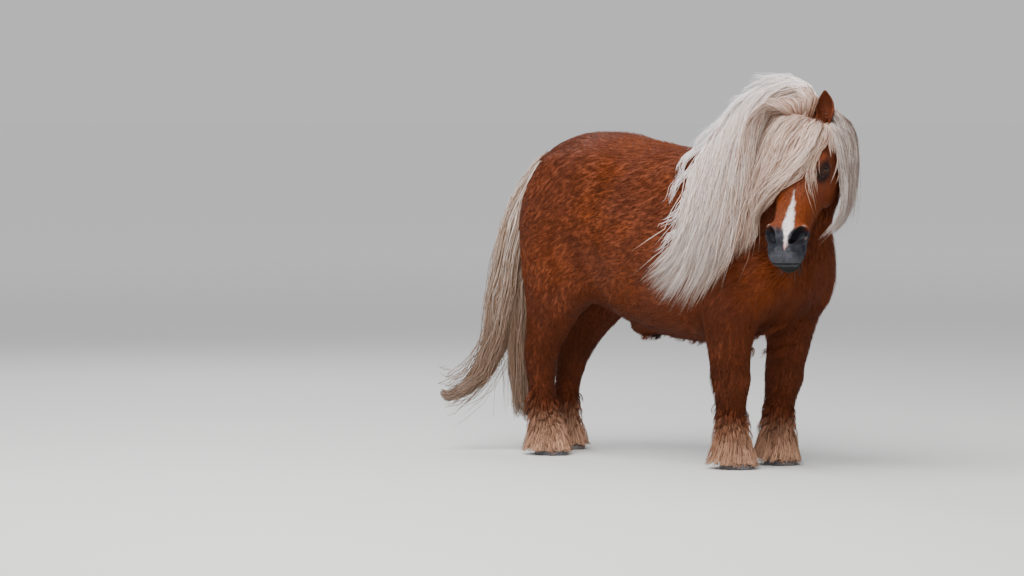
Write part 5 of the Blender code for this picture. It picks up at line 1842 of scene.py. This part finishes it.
def coat_finish():
    material, shader, start = finish_named("coat_chestnut", 0.62)
    shader.inputs["Specular IOR Level"].default_value = 0.12
    place = attribute(start, "root")
    tone, along = attribute(start, "tone", True), attribute(start, "along", True)
    colour = (0.44 + tone * 0.72 + along * 0.24).times(markings_and_painted_shade(place))
    into(shader, "Base Color", colour)
    body = start.node("TexCoord", {}, {}, "Object")
    hairs = body.stretched(1.0, 0.35, 0.45).noise(420, 2, 0.6)
    bump = start.node("Bump", {}, {"Strength": 0.35, "Distance": 0.002, "Height": hairs})
    into(shader, "Normal", bump)
    into(shader, "Roughness", 0.55 + hairs * 0.2)
    return material


COAT_FINISH = coat_finish()
print("markings use", len(COAT_FINISH.node_tree.nodes), "nodes")

# %% [markdown]
# Mane and tail are flaxen: near white where the top hair is bleached by weather, cream and tan inside the
# locks, partly the hair's own colour and partly a painted shade, and brown low down in the tail. Each strand
# has its own tone, and some kinds of hair are darker at the root or dull towards the tip. The far mane lies in
# shade and is duller throughout.

# %% Hair finishes
HAIR_WHITE = (0.940, 0.870, 0.865)
HAIR_CREAM = (0.720, 0.590, 0.520)
HAIR_TAN = (0.400, 0.265, 0.190)
TAIL_BROWN = (0.165, 0.095, 0.058)


def hair_finish(name, dark, middle, light, root_colour=None, foot=None, foot_share=0.85):
    """Hair between three colours by tone, with roots of one colour and, if asked, a darker foot."""
    material, shader, start = finish_named(name, 0.5)
    shader.inputs["Specular IOR Level"].default_value = 0.4
    place = attribute(start, "root")
    tone, along = attribute(start, "tone", True), attribute(start, "along", True)
    tone = tone + (place.noise(25, 2) - 0.5) * 0.5
    colour = tone.rise(0.15, 0.50).between(dark, middle)
    colour = tone.rise(0.45, 0.80).between(colour, light)
    if root_colour:
        colour = ((1 - along.rise(0.0, 0.20)) * 0.85).between(colour, root_colour)
    if foot:
        colour = (along.rise(0.22, 0.70) * foot_share).between(colour, foot)
        colour = (along.rise(0.90, 1.0) * 0.4).between(colour, HAIR_CREAM)
    into(shader, "Base Color", colour)
    body = start.node("TexCoord", {}, {}, "Object")
    into(shader, "Roughness", 0.42 + body.noise(90, 2) * 0.2)
    return material


MANE_FINISH = hair_finish("mane_flaxen", HAIR_TAN, HAIR_CREAM, HAIR_WHITE, HAIR_TAN,
                          (0.46, 0.33, 0.25), 0.50)
FAR_FINISH = hair_finish("mane_shaded", (0.20, 0.14, 0.11), (0.36, 0.275, 0.235), (0.58, 0.50, 0.46))
WISP_FINISH = hair_finish("mane_bleached", HAIR_CREAM, (0.78, 0.72, 0.70), HAIR_WHITE)
FORELOCK_FINISH = hair_finish("forelock_cream", (0.24, 0.13, 0.085), (0.44, 0.285, 0.21),
                              (0.68, 0.53, 0.455), (0.17, 0.07, 0.035))
TAIL_FINISH = hair_finish("tail_cream", (0.20, 0.12, 0.075), (0.36, 0.25, 0.18), (0.66, 0.57, 0.52),
                          None, TAIL_BROWN)
DARK_FINISH = hair_finish("lash_dark", (0.02, 0.015, 0.012), (0.05, 0.035, 0.03), (0.12, 0.09, 0.07))
print("hair finishes made")

# %% [markdown]
# A pony's eye is nearly black from a distance. Close to, the iris is dark brown with fine spokes, and the
# pupil is a level oval. A clear coat gives the wet shine.

# %% The eye's finish


def eye_finish():
    material, shader, start = finish_named("eye_wet", 0.12)
    shader.inputs["Coat Weight"].default_value = 0.12
    shader.inputs["Specular IOR Level"].default_value = 0.15
    shader.inputs["Coat Roughness"].default_value = 0.03
    gaze_place = attribute(start, "gaze")
    fore, up = gaze_place.along_way((1, 0, 0)), gaze_place.along_way((0, 1, 0))
    middle = start.node("CombineXYZ", {}, {0: fore * 0.62, 1: up * 1.15, 2: 0.0})
    pupil = 1 - start.node("VectorMath", {"operation": "LENGTH"}, {0: middle}, "Value").rise(0.20, 0.25)
    flat = start.node("CombineXYZ", {}, {0: fore, 1: up, 2: 0.0})
    reach = start.node("VectorMath", {"operation": "LENGTH"}, {0: flat}, "Value")
    spokes = gaze_place.noise(14, 4, 0.7)
    iris = spokes.rise(0.35, 0.70).between((0.030, 0.012, 0.006), (0.085, 0.036, 0.014))
    colour = reach.rise(0.66, 0.76).between(iris, (0.050, 0.036, 0.032))
    into(shader, "Base Color", pupil.between(colour, (0.004, 0.004, 0.006)))
    return material


EYE_FINISH = eye_finish()
print("finish made:", EYE_FINISH.name)

# %% [markdown]
# Hoof horn is slate grey with fine lines that run down the wall, rings that run round it, and a paler,
# chalky band under the hair.

# %% The hoof's finish


def horn_finish():
    material, shader, start = finish_named("horn_slate", 0.45)
    place = start.node("TexCoord", {}, {}, "Object")
    up = place.along_way((0, 0, 1))
    lines = place.stretched(1, 1, 0.05).noise(260, 2, 0.6)
    wave = up * 190 + place.noise(20, 2) * 2
    rings = wave.maths("SINE", wave) * 0.5 + 0.5
    colour = lines.rise(0.35, 0.7).between((0.040, 0.042, 0.052), (0.110, 0.108, 0.115))
    colour = (rings * 0.12).between(colour, (0.13, 0.125, 0.125))
    colour = (up.rise(0.036, 0.052) * 0.6).between(colour, (0.30, 0.27, 0.24))
    dirt = place.noise(30, 3).rise(0.5, 0.7) * (1 - up.rise(0.0, 0.018))
    into(shader, "Base Color", (dirt * 0.6).between(colour, (0.16, 0.12, 0.08)))
    bump = start.node("Bump", {}, {"Strength": 0.4, "Distance": 0.0008, "Height": lines + rings * 0.2})
    into(shader, "Normal", bump)
    into(shader, "Roughness", 0.38 + lines * 0.25)
    return material


HORN_FINISH = horn_finish()
print("finish made:", HORN_FINISH.name)

# %% [markdown]
# Last, every piece gets its finish and is moved by the step that the solids were, and the solids it stands
# for are hidden. The pony has no joints, so each piece rides on its one body.

# %% Dressing the frame


def dressed(made, finish, slot, *nodes):
    """Moves a piece to the frame's place, gives it its finish and its body, and hides the solids it stands for.
    The slot is not used.
    """
    places = points_of(made) + np.array(SHIFT)
    made.data.vertices.foreach_set("co", places.astype(np.float32).ravel())
    made.data.update()
    made.data.materials.clear()
    made.data.materials.append(finish)
    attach(made, "root")
    if nodes:
        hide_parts(*nodes)


SKIN_TONE = 0.55
put(skin.data, "root", "FLOAT_VECTOR", points_of(skin))
put(skin.data, "tone", "FLOAT", np.full(len(skin.data.vertices), SKIN_TONE))
dressed(skin, COAT_FINISH, "coat", "torso", "neck", "head", "ear_left", "ear_right",
        *["leg_" + name for name in HOOF_PLACES])
for made in coat:
    dressed(made, COAT_FINISH, "coat")
hair_finishes = MANE_FINISH, MANE_FINISH, MANE_FINISH, FAR_FINISH, WISP_FINISH, FORELOCK_FINISH
for made, finish in zip(hair, hair_finishes):
    dressed(made, finish, "coat")
dressed(hair[6], TAIL_FINISH, "tail_hair", "tail")
dressed(hair[7], TAIL_FINISH, "tail_hair")
for made in feathers:
    dressed(made, COAT_FINISH, "coat")
for made in fine_hair:
    dressed(made, DARK_FINISH, "coat")
for made, node in zip(eyes, EYE_SIDES):
    dressed(made, EYE_FINISH, "eye", node)
for name, made in hooves.items():
    dressed(made, HORN_FINISH, "horn", "hoof_" + name)

total = sum(len(p.vertices) - 2 for o in [skin] + coat + hair + feathers + fine_hair for p in o.data.polygons)
print("triangles of skin and hair:", total)
